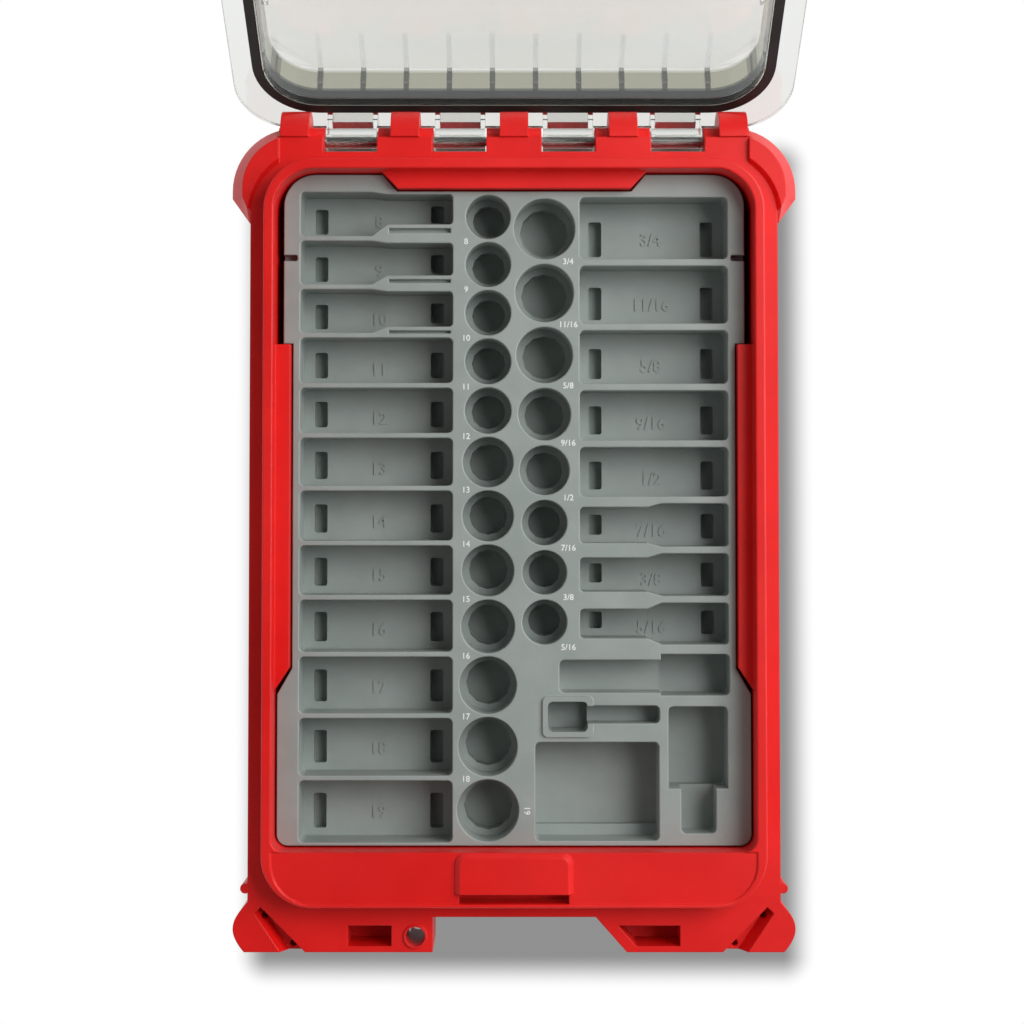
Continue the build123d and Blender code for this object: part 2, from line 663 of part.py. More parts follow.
    # channel inside the double side walls, open below
    with BuildSketch():
        with Locations((0, (DECK_REAR_Y + BODY_BACK_Y - WALL_SKIN) / 2)):
            RectangleRounded(
                2 * (BODY_HALF_WIDTH - WALL_SKIN),
                BODY_BACK_Y - WALL_SKIN - DECK_REAR_Y,
                BODY_CORNER - WALL_SKIN,
            )
        with Locations((0, (DECK_REAR_Y + CAVITY_BACK_Y + WALL_SKIN) / 2)):
            RectangleRounded(
                2 * (RIM_INNER_HALF + WALL_SKIN),
                CAVITY_BACK_Y + WALL_SKIN - DECK_REAR_Y,
                RIM_CORNER - RIM_WALL + WALL_SKIN,
                mode=Mode.SUBTRACT,
            )
        with Locations((0, DECK_REAR_Y)):
            Rectangle(2 * BODY_HALF_WIDTH, 2 * BODY_CORNER, mode=Mode.SUBTRACT)
    extrude(amount=LEDGE_Z - WALL_SKIN, mode=Mode.SUBTRACT)

    # hollows beside the stacking latch pocket, and the window for its push pad
    for side in (-1, 1):
        hollow_x = sorted((side * (STACK_POCKET_HALF + DECK_WALL), side * (RIM_INNER_HALF - WALL_SKIN)))
        block(
            Plane.XY,
            hollow_x,
            (STACK_POCKET_FRONT_Y + DECK_WALL, STACK_POCKET_BACK_Y),
            (0, LEDGE_Z - WALL_SKIN),
            Mode.SUBTRACT,
        )
    block(
        Plane.XY,
        (-STACK_WINDOW_HALF, STACK_WINDOW_HALF),
        (BODY_FRONT_Y, STACK_POCKET_FRONT_Y),
        STACK_WINDOW_Z,
        Mode.SUBTRACT,
    )

    # screw bosses for the cover plate
    for boss_x in (-BOSS_X, BOSS_X):
        for boss_y in BOSS_Y:
            with BuildSketch(Plane.XY.offset(COVER_TOP_Z)):
                with Locations((boss_x, boss_y)):
                    Circle(BOSS_R)
                    Circle(SCREW_R + SCREW_FIT, mode=Mode.SUBTRACT)
            extrude(amount=STACK_POCKET_Z - COVER_TOP_Z)

    # guide ribs above the slide
    for rib_x in (-SLIDE_RIB_X, SLIDE_RIB_X):
        block(
            Plane.XY,
            (rib_x - RIB / 2, rib_x + RIB / 2),
            (STACK_POCKET_FRONT_Y, STACK_POCKET_BACK_Y),
            (STACK_SLIDE_Z[1] + STACK_RUNNING, STACK_POCKET_Z),
        )


# ---- tray ---------------------------------------------------------------------------------

with BuildSketch() as tray_outline:
    with BuildLine():
        Polyline(
            (0, TRAY_BACK_Y),
            (BACK_LEDGE_HALF + BACK_LEDGE_FLARE + TRAY_GAP, TRAY_BACK_Y),
            (TRAY_BACK_HALF, TRAY_BACK_Y),
            (TRAY_BACK_HALF, SIDE_LEDGE_BACK_Y + TRAY_GAP),
            (SIDE_LEDGE_X - TRAY_GAP, SIDE_LEDGE_BACK_Y + TRAY_GAP),
            (SIDE_LEDGE_X - TRAY_GAP, SIDE_LEDGE_FRONT_Y - TRAY_GAP),
            (TRAY_FRONT_HALF, TRAY_FRONT_STEP_Y),
            (TRAY_FRONT_HALF, TRAY_FRONT_Y),
            (0, TRAY_FRONT_Y),
            (0, TRAY_BACK_Y),
        )
    make_face()
    mirror(about=Plane.YZ)
    fillet(
        tray_outline.vertices().filter_by(lambda v: v.Y > TRAY_BACK_Y - 1 and abs(v.X) > TRAY_BACK_HALF - 1),
        TRAY_BACK_CORNER,
    )
    fillet(
        tray_outline.vertices().filter_by(lambda v: v.Y < TRAY_FRONT_Y + 1 and abs(v.X) > TRAY_FRONT_HALF - 1),
        TRAY_FRONT_CORNER,
    )
    with BuildLine():
        Polyline(
            (-BACK_LEDGE_HALF - BACK_LEDGE_FLARE - TRAY_GAP, TRAY_BACK_Y + 1),
            (-BACK_LEDGE_HALF - TRAY_GAP, BACK_LEDGE_Y - TRAY_GAP),
            (BACK_LEDGE_HALF + TRAY_GAP, BACK_LEDGE_Y - TRAY_GAP),
            (BACK_LEDGE_HALF + BACK_LEDGE_FLARE + TRAY_GAP, TRAY_BACK_Y + 1),
            (-BACK_LEDGE_HALF - BACK_LEDGE_FLARE - TRAY_GAP, TRAY_BACK_Y + 1),
        )
    make_face(mode=Mode.SUBTRACT)


def tray_section(x_range, y_range):
    """The solid of one tray section: the tray's outline between two pairs of seams."""
    with BuildSketch(Plane.XY.offset(TRAY_BOTTOM_Z)) as section:
        add(tray_outline.sketch)
        with Locations((middle(x_range), middle(y_range))):
            Rectangle(x_range[1] - x_range[0], y_range[1] - y_range[0], mode=Mode.INTERSECT)
    extrude(section.sketch, amount=TRAY_HEIGHT)


def pocket(x_range, y_range, depth, corner=WELL_CORNER, top=TRAY_TOP_Z):
    """A straight-sided pocket with rounded corners, cut down from the tray's top."""
    with BuildSketch(Plane.XY.offset(top - depth)) as mouth:
        with Locations((middle(x_range), middle(y_range))):
            RectangleRounded(x_range[1] - x_range[0], y_range[1] - y_range[0], corner)
    extrude(mouth.sketch, amount=depth, mode=Mode.SUBTRACT)


def necked_pocket(x_ends, x_neck, y_wide, y_narrow, narrow_side, depth):
    """A pocket that slopes from its full width to a narrower one along X."""
    far = x_ends[1] if narrow_side > 0 else x_ends[0]
    near = x_ends[0] if narrow_side > 0 else x_ends[1]
    neck = x_neck if narrow_side > 0 else (x_neck[1], x_neck[0])
    with BuildSketch(Plane.XY.offset(TRAY_TOP_Z - depth)) as mouth:
        with BuildLine() as border:
            Polyline(
                (near, y_wide[0]),
                (neck[0], y_wide[0]),
                (neck[1], y_narrow[0]),
                (far, y_narrow[0]),
                (far, y_narrow[1]),
                (neck[1], y_narrow[1]),
                (neck[0], y_wide[1]),
                (near, y_wide[1]),
                (near, y_wide[0]),
            )
        make_face(border.edges())
        fillet(mouth.vertices(), WELL_CORNER * 0.8)
    extrude(mouth.sketch, amount=depth, mode=Mode.SUBTRACT)


def stepped_pocket(first, second, depth, step_corner):
    """A pocket over two rectangles that share part of a side."""
    with BuildSketch(Plane.XY.offset(TRAY_TOP_Z - depth)) as mouth:
        for x_range, y_range in (first, second):
            with Locations((middle(x_range), middle(y_range))):
                Rectangle(x_range[1] - x_range[0], y_range[1] - y_range[0])
        outer = mouth.vertices().filter_by(lambda v: not meets(v, first, second))
        inner = mouth.vertices().filter_by(lambda v: meets(v, first, second))
        fillet(outer, WELL_CORNER)
        fillet(inner, step_corner)
    extrude(mouth.sketch, amount=depth, mode=Mode.SUBTRACT)


def meets(vertex, first, second):
    """Whether a vertex lies on the line that two stacked rectangles share."""
    if first[0][1] == second[0][0]:
        return abs(vertex.X - first[0][1]) < 0.01
    return abs(vertex.Y - first[1][0]) < 0.01


def cradle_ends(x_range, y_left, y_right, depth):
    """Deeper recesses near both ends of a well's floor, close to its front wall."""
    ends = ((x_range[0] + CRADLE_INSET, y_left), (x_range[1] - CRADLE_INSET - CRADLE_LENGTH, y_right))
    for x, y_range in ends:
        length = CRADLE_SHARE * (y_range[1] - y_range[0])
        with BuildSketch(Plane.XY.offset(TRAY_TOP_Z - depth - CRADLE_DEPTH)) as recess:
            with Locations((x + CRADLE_LENGTH / 2, y_range[0] + CRADLE_FRONT + length / 2)):
                RectangleRounded(CRADLE_LENGTH, length, WELL_CORNER * 0.5)
        extrude(recess.sketch, amount=CRADLE_DEPTH, mode=Mode.SUBTRACT)


def neck_groove(x_range, y, width):
    """A shallow groove in front of a well's narrow end, which leaves a thin wall beside it."""
    groove_y = (y - NECK_GROOVE_WALL - width, y - NECK_GROOVE_WALL)
    block(Plane.XY, x_range, groove_y, (TRAY_TOP_Z - NECK_GROOVE_DEPTH, TRAY_TOP_Z), Mode.SUBTRACT)


def round_seat(x, y, radius):
    """A stepped round seat: the socket's body above, a drain hole for its drive end below."""
    with BuildSketch(Plane.XY.offset(TRAY_TOP_Z - SEAT_DEPTH)) as seat:
        with Locations((x, y)):
            Circle(radius)
    extrude(seat.sketch, amount=SEAT_DEPTH, mode=Mode.SUBTRACT)
    with BuildSketch(Plane.XY.offset(TRAY_TOP_Z - SEAT_DEPTH - SEAT_DRAIN_DEPTH)) as drain:
        with Locations((x, y)):
            RegularPolygon(radius - SEAT_LEDGE, 12)
    extrude(drain.sketch, amount=SEAT_DRAIN_DEPTH, mode=Mode.SUBTRACT)


def on_seam(edge):
    """Whether an edge lies on a seam between tray sections, where the surfaces run on."""
    where = edge.center()
    across_x = any(abs(where.X - seam) < 0.01 for seam in (SEAM_LEFT_X, SEAM_RIGHT_X, SEAM_FRONT_X))
    return across_x or abs(where.Y - SEAM_Y) < 0.01


def soften_top(section, top):
    """Round every edge of a section's top face, except along its seams."""
    edges = section.faces().filter_by(Plane.XY).filter_by_position(Axis.Z, top - 0.01, top + 0.01).edges()
    fillet(edges.filter_by(lambda edge: not on_seam(edge)), TRAY_EDGE)


TRAY_SIDE = TRAY_FRONT_HALF + 1
TRAY_ENDS = (TRAY_FRONT_Y - 1, TRAY_BACK_Y + 1)

with BuildPart() as tray_long_wells:
    tray_section((-TRAY_SIDE, SEAM_LEFT_X), TRAY_ENDS)
    for i, limits in enumerate(LONG_WELL_LIMITS):
        if i < NECKED_LONG_WELLS:
            narrow = (limits[1] - 1.0 - LONG_NECK_WIDTH[i], limits[1] - 1.0)
            necked_pocket(LONG_WELL_X, LONG_NECK_X, limits, narrow, 1, LONG_WELL_DEPTH)
            cradle_ends(LONG_WELL_X, limits, narrow, LONG_WELL_DEPTH)
            groove_x = (LONG_NECK_X[1] + NECK_GROOVE_INSET, LONG_WELL_X[1] - NECK_GROOVE_INSET)
            neck_groove(groove_x, narrow[0], LONG_NECK_GROOVE[i])
        else:
            pocket(LONG_WELL_X, limits, LONG_WELL_DEPTH)
            cradle_ends(LONG_WELL_X, limits, limits, LONG_WELL_DEPTH)
    pocket(
        (-TRAY_BACK_HALF - FINGER_SLOT_WIDTH, -TRAY_BACK_HALF + FINGER_SLOT_LENGTH),
        (FINGER_SLOT_Y - FINGER_SLOT_WIDTH / 2, FINGER_SLOT_Y + FINGER_SLOT_WIDTH / 2),
        FINGER_SLOT_DEPTH,
        FINGER_SLOT_WIDTH / 3,
    )
    soften_top(tray_long_wells, TRAY_TOP_Z)

with BuildPart() as tray_round_seats:
    tray_section((SEAM_LEFT_X, SEAM_RIGHT_X), (SEAM_Y, TRAY_BACK_Y + 1))
    tray_section((SEAM_LEFT_X, SEAM_FRONT_X), (TRAY_FRONT_Y - 1, SEAM_Y))
    for limits in wells_from_back(METRIC_SEAT_BACK_Y, METRIC_SEAT_WALL, METRIC_SEATS):
        round_seat(METRIC_SEAT_X, middle(limits), (limits[1] - limits[0]) / 2)
    for limits in wells_from_back(INCH_SEAT_BACK_Y, INCH_SEAT_WALL, INCH_SEATS):
        round_seat(INCH_SEAT_X, middle(limits), (limits[1] - limits[0]) / 2)
    soften_top(tray_round_seats, TRAY_TOP_Z)

with BuildPart() as tray_cross_wells:
    tray_section((SEAM_RIGHT_X, TRAY_SIDE), (SEAM_Y, TRAY_BACK_Y + 1))
    for i, limits in enumerate(CROSS_WELL_LIMITS):
        necked = i - len(CROSS_WELLS) + NECKED_CROSS_WELLS
        if necked >= 0:
            half = CROSS_NECK_WIDTH[necked] / 2
            narrow = (middle(limits) - half, middle(limits) + half)
            necked_pocket(CROSS_WELL_X, CROSS_NECK_X, limits, narrow, -1, CROSS_WELL_DEPTH)
            cradle_ends(CROSS_WELL_X, narrow, limits, CROSS_WELL_DEPTH)
        else:
            pocket(CROSS_WELL_X, limits, CROSS_WELL_DEPTH)
            cradle_ends(CROSS_WELL_X, limits, limits, CROSS_WELL_DEPTH)
    pocket(
        (TRAY_BACK_HALF - FINGER_SLOT_LENGTH, TRAY_BACK_HALF + FINGER_SLOT_WIDTH),
        (FINGER_SLOT_Y - FINGER_SLOT_WIDTH / 2, FINGER_SLOT_Y + FINGER_SLOT_WIDTH / 2),
        FINGER_SLOT_DEPTH,
        FINGER_SLOT_WIDTH / 3,
    )
    soften_top(tray_cross_wells, TRAY_TOP_Z)

with BuildPart() as tray_accessory_bins:
    tray_section((SEAM_FRONT_X, TRAY_SIDE), (TRAY_FRONT_Y - 1, SEAM_Y))
    collar_top = TRAY_TOP_Z + ADAPTER_COLLAR_RISE
    with BuildSketch(Plane.XY.offset(TRAY_TOP_Z)):
        with Locations((middle(ADAPTER_BIN[0]), middle(ADAPTER_BIN[1]))):
            RectangleRounded(
                ADAPTER_BIN[0][1] - ADAPTER_BIN[0][0] + 2 * ADAPTER_COLLAR,
                ADAPTER_BIN[1][1] - ADAPTER_BIN[1][0] + 2 * ADAPTER_COLLAR,
                WELL_CORNER,
            )
    extrude(amount=ADAPTER_COLLAR_RISE)
    stepped_pocket(EXTENSION_BIN, EXTENSION_HEAD, EXTENSION_BIN_DEPTH, STEP_CORNER)
    pocket(*EXTENSION_HEAD, EXTENSION_HEAD_DEPTH)
    pocket(*ADAPTER_BIN, ADAPTER_BIN_DEPTH + ADAPTER_COLLAR_RISE, WELL_CORNER, collar_top)
    pocket(
        (ADAPTER_SLOT[0][0] - WELL_CORNER, ADAPTER_SLOT[0][1]),
        ADAPTER_SLOT[1],
        ADAPTER_SLOT_DEPTH + ADAPTER_COLLAR_RISE,
        WELL_CORNER,
        collar_top,
    )
    pocket(*BIT_BIN, BIT_BIN_DEPTH)
    block(
        Plane.XY,
        BIT_BIN[0],
        (BIT_BIN[1][0], BIT_BIN[1][0] + BIT_BIN_STEP),
        (TRAY_TOP_Z - BIT_BIN_DEPTH, TRAY_TOP_Z - BIT_BIN_DEPTH + BIT_BIN_STEP_RISE),
    )
    stepped_pocket(RATCHET_BIN, RATCHET_HANDLE, RATCHET_HANDLE_DEPTH, WELL_CORNER)
    pocket(*RATCHET_BIN, RATCHET_BIN_DEPTH)
    soften_top(tray_accessory_bins, TRAY_TOP_Z)


# ---- lid ----------------------------------------------------------------------------------


def rim_offset(distance):
    """Half width, Y limits and corner of an outline held a distance outside the case's rim."""
    y_range = (RIM_FRONT_Y - distance, RIM_BACK_Y + distance)
    return RIM_OUTER_HALF + distance, y_range, RIM_CORNER + distance


def rim_ring(base, inner, outer, z_range, mode=Mode.ADD):
    """A ring that follows the case's rim between two distances outside it."""
    centre = Vector(0, (RIM_FRONT_Y + RIM_BACK_Y) / 2, z_range[0])
    level = Plane(origin=base.from_local_coords(centre), x_dir=base.x_dir, z_dir=base.z_dir)
    depth = RIM_BACK_Y - RIM_FRONT_Y
    with BuildSketch(level) as ring:
        RectangleRounded(2 * (RIM_OUTER_HALF + outer), depth + 2 * outer, RIM_CORNER + outer)
        RectangleRounded(
            2 * (RIM_OUTER_HALF + inner), depth + 2 * inner, RIM_CORNER + inner, mode=Mode.SUBTRACT
        )
    extrude(ring.sketch, amount=z_range[1] - z_range[0], mode=mode)


with BuildPart() as lid_shell:
    # flange, then the walls and top as one slab, hollowed from below
    rounded_slab(
        LID, LID_HALF_WIDTH, (LID_FRONT_Y, LID_BACK_Y), LID_CORNER, (FLANGE_Z, FLANGE_Z + FLANGE_THICK)
    )
    rounded_slab(LID, *rim_offset(LID_CLEAR + LID_WALL), (FLANGE_Z, LID_TOP_Z), taper=LID_DRAFT)
    fillet(lid_shell.faces().sort_by(Axis(LID.origin, LID.z_dir))[-1].edges(), LID_EDGE_ROUND)
    rounded_slab(LID, *rim_offset(LID_CLEAR), (FLANGE_Z, LID_CEILING_Z), Mode.SUBTRACT, LID_DRAFT)

    # groove for the gasket in the flange's underside
    rim_ring(
        LID,
        GASKET_CLEAR - GASKET_FIT,
        GASKET_CLEAR + GASKET_WIDTH + GASKET_FIT,
        (FLANGE_Z, FLANGE_Z + GASKET_GROOVE),
        Mode.SUBTRACT,
    )

    # lip inside the gasket, in line with the wall
    rim_ring(
        LID,
        LID_CLEAR,
        GASKET_CLEAR - GASKET_FIT,
        (LEDGE_Z + GASKET_LIP_GAP, FLANGE_Z + 1),
    )

    # ribs down the inside of the back wall
    inner_back_y = RIM_BACK_Y + LID_CLEAR
    for i in range(LID_INNER_RIBS):
        x = LID_INNER_RIB_PITCH * (i - (LID_INNER_RIBS - 1) / 2)
        block(
            LID,
            (x - LID_INNER_RIB_WIDTH / 2, x + LID_INNER_RIB_WIDTH / 2),
            (inner_back_y - LID_INNER_RIB_DEPTH, inner_back_y + LID_WALL / 2),
            (RIM_TOP_Z + LID_INNER_RIB_START, LID_CEILING_Z + 1),
        )

    # two ribs and a catch on the top, for the case stacked above
    for side in (-1, 1):
        rib_x = sorted((side * STACK_RIB_X[0], side * STACK_RIB_X[1]))
        block(LID, rib_x, STACK_RIB_Y, (LID_CEILING_Z + 1, LID_TOP_Z + STACK_RIB_RISE))
    catch_x = (-STACK_CATCH_HALF, STACK_CATCH_HALF)
    catch_top = LID_TOP_Z + STACK_CATCH_RISE
    block(LID, catch_x, STACK_CATCH_Y, (LID_CEILING_Z + 1, catch_top))
    block(LID, catch_x, (STACK_CATCH_Y[0], STACK_CATCH_LIP_Y), (catch_top - STACK_CATCH_LIP, catch_top))

    # hinge lugs: an arm down from the flange to a barrel round the rod
    for centre in LUG_CENTRES:
        with BuildSketch(side_of(LID, centre - LUG_WIDTH / 2)):
            with BuildLine():
                Polyline(
                    (HINGE_Y - LUG_ARM, HINGE_Z),
                    (HINGE_Y - LUG_ARM, FLANGE_Z + 1),
                    (LID_BACK_Y - LUG_SETBACK, FLANGE_Z + 1),
                    (HINGE_Y + LUG_BARREL_R, HINGE_Z),
                    (HINGE_Y - LUG_ARM, HINGE_Z),
                )
            make_face()
            with Locations((HINGE_Y, HINGE_Z)):
                Circle(LUG_BARREL_R)
        extrude(amount=LUG_WIDTH)
        block(
            LID,
            (centre - LUG_WIDTH / 2 + LUG_SKIN, centre + LUG_WIDTH / 2 - LUG_SKIN),
            (HINGE_Y - LUG_ARM + LUG_SKIN, LID_BACK_Y),
            (HINGE_Z + LUG_BARREL_R + LUG_SKIN, FLANGE_Z),
            Mode.SUBTRACT,
        )
        lug_ends = (centre - LUG_WIDTH / 2 - 1, centre + LUG_WIDTH / 2 + 1)
        rod(LID, lug_ends, HINGE_Y, HINGE_Z, ROD_R + ROD_RUNNING, Mode.SUBTRACT)

    # ears on the front flange that carry the latches
    for centre in LATCH_CENTRES:
        for side in (-1, 1):
            inner = centre + side * (LATCH_WIDTH / 2 - LATCH_SHOULDER + LATCH_EAR_GAP)
            with BuildSketch(side_of(LID, min(inner, inner + side * LATCH_EAR))):
                with BuildLine():
                    Polyline(
                        (LATCH_PIVOT_Y, LATCH_PIVOT_Z + LATCH_EAR_R),
                        (LID_FRONT_Y + 1.5 * LATCH_EAR_R, LATCH_PIVOT_Z + LATCH_EAR_R),
                        (LID_FRONT_Y + 2.5 * LATCH_EAR_R, FLANGE_Z + 1),
                        (LID_FRONT_Y + 2 * LATCH_EAR_R, FLANGE_Z),
                        (LATCH_PIVOT_Y, LATCH_PIVOT_Z - LATCH_EAR_R),
                        (LATCH_PIVOT_Y, LATCH_PIVOT_Z + LATCH_EAR_R),
                    )
                make_face()
                with Locations((LATCH_PIVOT_Y, LATCH_PIVOT_Z)):
                    Circle(LATCH_EAR_R)
            extrude(amount=LATCH_EAR)
        pin_ends = (centre - LATCH_WIDTH / 2, centre + LATCH_WIDTH / 2)
        rod(LID, pin_ends, LATCH_PIVOT_Y, LATCH_PIVOT_Z, LATCH_PIN_R + ROD_FIT, Mode.SUBTRACT)

    # padlock tab over the eye in the case
    with BuildSketch(LID.offset(FLANGE_Z)):
        with Locations((PADLOCK_X, PADLOCK_Y)):
            Circle(PADLOCK_TAB_R)
    extrude(amount=FLANGE_THICK)
    with BuildSketch(LID.offset(FLANGE_Z)):
        with Locations((PADLOCK_X, PADLOCK_Y)):
            Circle(PADLOCK_R)
    extrude(amount=FLANGE_THICK, mode=Mode.SUBTRACT)

with BuildPart() as lid_gasket:
    rim_ring(
        LID,
        GASKET_CLEAR,
        GASKET_CLEAR + GASKET_WIDTH,
        (LEDGE_Z + GASKET_REST_GAP, FLANGE_Z + GASKET_GROOVE),
    )


# ---- hinge rods ---------------------------------------------------------------------------

with BuildPart() as hinge_rod_left:
    rod(Plane.XY, (-ROD_END_X, -ROD_STOP_X - ROD_RUNNING), HINGE_Y, HINGE_Z, ROD_R)

with BuildPart() as hinge_rod_right:
    rod(Plane.XY, (ROD_STOP_X + ROD_RUNNING, ROD_END_X), HINGE_Y, HINGE_Z, ROD_R)


# ---- latches ------------------------------------------------------------------------------


def latch_body(centre):
    """A latch: a barrel on its pin, a plate, a hook under the catch bar and a pull tab."""
    limits = (centre - LATCH_WIDTH / 2, centre + LATCH_WIDTH / 2)
    narrow = (limits[0] + LATCH_SHOULDER, limits[1] - LATCH_SHOULDER)
    plate_y = (LATCH_FACE_Y - LATCH_THICK, LATCH_FACE_Y)
    plate_top = LATCH_PIVOT_Z - LATCH_BARREL_R - LATCH_GAP
    hook_z = (LATCH_HOOK_TOP_Z - LATCH_HOOK_THICK, LATCH_HOOK_TOP_Z)
    block(LATCH, limits, plate_y, (hook_z[0], plate_top))
    block(LATCH, narrow, plate_y, (plate_top, LATCH_PIVOT_Z))
    rod(LATCH, narrow, LATCH_PIVOT_Y, LATCH_PIVOT_Z, LATCH_BARREL_R)
    block(LATCH, limits, (plate_y[0], LATCH_FACE_Y + LATCH_HOOK_REACH), hook_z)
    block(LATCH, limits, (LATCH_FACE_Y - LATCH_TAB, plate_y[0]), hook_z)
    for i in range(LATCH_GRIP_RIBS):
        z = plate_top - (i + 1) * LATCH_GRIP_PITCH
        block(LATCH, narrow, (plate_y[0] - LATCH_GRIP_RISE, plate_y[0]), (z, z + LATCH_GRIP_RISE))
    rod(LATCH, limits, LATCH_PIVOT_Y, LATCH_PIVOT_Z, LATCH_PIN_R + ROD_RUNNING, Mode.SUBTRACT)


def latch_pin(centre):
    """The steel pin through a latch and its two ears."""
    half = LATCH_WIDTH / 2 - LATCH_SHOULDER + LATCH_EAR_GAP + LATCH_EAR
    rod(LID, (centre - half, centre + half), LATCH_PIVOT_Y, LATCH_PIVOT_Z, LATCH_PIN_R)


with BuildPart() as latch_left:
    latch_body(LATCH_CENTRES[0])

with BuildPart() as latch_right:
    latch_body(LATCH_CENTRES[1])

with BuildPart() as latch_pin_left:
    latch_pin(LATCH_CENTRES[0])

with BuildPart() as latch_pin_right:
    latch_pin(LATCH_CENTRES[1])


# ---- stacking latch -----------------------------------------------------------------------

with BuildPart() as stack_slide:
    block(Plane.XY, (-STACK_SLIDE_HALF, STACK_SLIDE_HALF), SLIDE_Y, STACK_SLIDE_Z)
    block(
        Plane.XY,
        (-STACK_PAD_HALF, STACK_PAD_HALF),
        (BODY_FRONT_Y, SLIDE_Y[0]),
        (STACK_WINDOW_Z[0] + STACK_RUNNING, STACK_WINDOW_Z[1] - STACK_RUNNING),
    )
    hook_x = (-STACK_HOOK_HALF, STACK_HOOK_HALF)
    nose_z = (COVER_TOP_Z + STACK_RUNNING, COVER_TOP_Z + STACK_RUNNING + STACK_NOSE)
    block(Plane.XY, hook_x, (SLIDE_Y[1], STACK_ARM_Y[1]), (STACK_SLIDE_Z[0], STACK_ARM_TOP_Z))
    block(Plane.XY, hook_x, STACK_ARM_Y, (nose_z[0], STACK_SLIDE_Z[0]))
    block(Plane.XY, hook_x, (STACK_NOSE_Y, STACK_ARM_Y[1]), nose_z)
    for spring_x in (-SPRING_X, SPRING_X):
        with BuildSketch(Plane(origin=(spring_x, SLIDE_Y[1], SPRING_Z), x_dir=(1, 0, 0), z_dir=(0, 1, 0))):
            Circle(SPRING_PIN_R)
        extrude(amount=SPRING_PIN)

with BuildPart() as stack_springs:
    coil_r = SPRING_R - SPRING_WIRE / 2
    length = STACK_POCKET_BACK_Y - SLIDE_Y[1] - SPRING_WIRE
    for spring_x in (-SPRING_X, SPRING_X):
        with BuildLine() as coil:
            Helix(
                length / SPRING_COILS,
                length,
                coil_r,
                center=(spring_x, SLIDE_Y[1] + SPRING_WIRE / 2, SPRING_Z),
                direction=(0, 1, 0),
            )
        with BuildSketch(Plane(origin=coil.line @ 0, z_dir=coil.line % 0)) as wire:
            Circle(SPRING_WIRE / 2)
        sweep(wire.sketch, path=coil.line)

with BuildPart() as stack_cover:
    block(
        Plane.XY,
        (-STACK_POCKET_HALF + COVER_FIT, STACK_POCKET_HALF - COVER_FIT),
        (STACK_POCKET_FRONT_Y + COVER_FIT, STACK_POCKET_BACK_Y - COVER_FIT),
        (COVER_RECESS, COVER_TOP_Z),
    )
    for side in (-1, 1):
        rail_inner = STACK_SLIDE_HALF + STACK_RUNNING
        guide_x = sorted((side * rail_inner, side * (rail_inner + COVER_RAIL)))
        shelf_x = sorted((side * SLIDE_RIB_X, side * rail_inner))
        guide_y = (STACK_POCKET_FRONT_Y + 2 * COVER_FIT, STACK_POCKET_BACK_Y - 2 * COVER_FIT)
        block(Plane.XY, guide_x, guide_y, (COVER_TOP_Z, COVER_RAIL_Z))
        block(Plane.XY, shelf_x, guide_y, (COVER_TOP_Z, STACK_SLIDE_Z[0] - STACK_RUNNING))
    block(
        Plane.XY,
        (-COVER_SLOT_HALF, COVER_SLOT_HALF),
        COVER_SLOT_Y,
        (COVER_RECESS, COVER_TOP_Z),
        Mode.SUBTRACT,
    )
    for boss_x in (-BOSS_X, BOSS_X):
        for boss_y in BOSS_Y:
            with BuildSketch(Plane.XY.offset(COVER_RECESS)) as hole:
                with Locations((boss_x, boss_y)):
                    Circle(SCREW_R + SCREW_FIT)
            extrude(hole.sketch, amount=COVER_THICK, mode=Mode.SUBTRACT)
            with BuildSketch(Plane.XY.offset(COVER_RECESS)) as sink:
                with Locations((boss_x, boss_y)):
                    Circle(SCREW_HEAD_R + 2 * SCREW_FIT)
            extrude(sink.sketch, amount=SCREW_SINK, mode=Mode.SUBTRACT)

with BuildPart() as stack_screws:
    head_top = COVER_RECESS + SCREW_SINK
    for boss_x in (-BOSS_X, BOSS_X):
        for boss_y in BOSS_Y:
            with BuildSketch(Plane.XY.offset(head_top - SCREW_HEAD)):
                with Locations((boss_x, boss_y)):
                    Circle(SCREW_HEAD_R)
            extrude(amount=SCREW_HEAD)
            with BuildSketch(Plane.XY.offset(head_top)):
                with Locations((boss_x, boss_y)):
                    Circle(SCREW_R)
            extrude(amount=SCREW_LENGTH)
            with BuildSketch(Plane.XY.offset(head_top - SCREW_HEAD)):
                with Locations((boss_x, boss_y)):
                    Rectangle(2 * SCREW_DRIVE, SCREW_DRIVE / 3)
                    Rectangle(SCREW_DRIVE / 3, 2 * SCREW_DRIVE)
            extrude(amount=SCREW_DRIVE_DEPTH, mode=Mode.SUBTRACT)


# ---- labels and export --------------------------------------------------------------------

os.makedirs("parts", exist_ok=True)
base_shell.part.label = "base_shell"
tray_long_wells.part.label = "tray_long_wells"
tray_round_seats.part.label = "tray_round_seats"
tray_cross_wells.part.label = "tray_cross_wells"
tray_accessory_bins.part.label = "tray_accessory_bins"
lid_shell.part.label = "lid_shell"
lid_gasket.part.label = "lid_gasket"
hinge_rod_left.part.label = "hinge_rod_left"
hinge_rod_right.part.label = "hinge_rod_right"
latch_left.part.label = "latch_left"
latch_right.part.label = "latch_right"
latch_pin_left.part.label = "latch_pin_left"
latch_pin_right.part.label = "latch_pin_right"
stack_slide.part.label = "stack_slide"
stack_springs.part.label = "stack_springs"
stack_cover.part.label = "stack_cover"
stack_screws.part.label = "stack_screws"

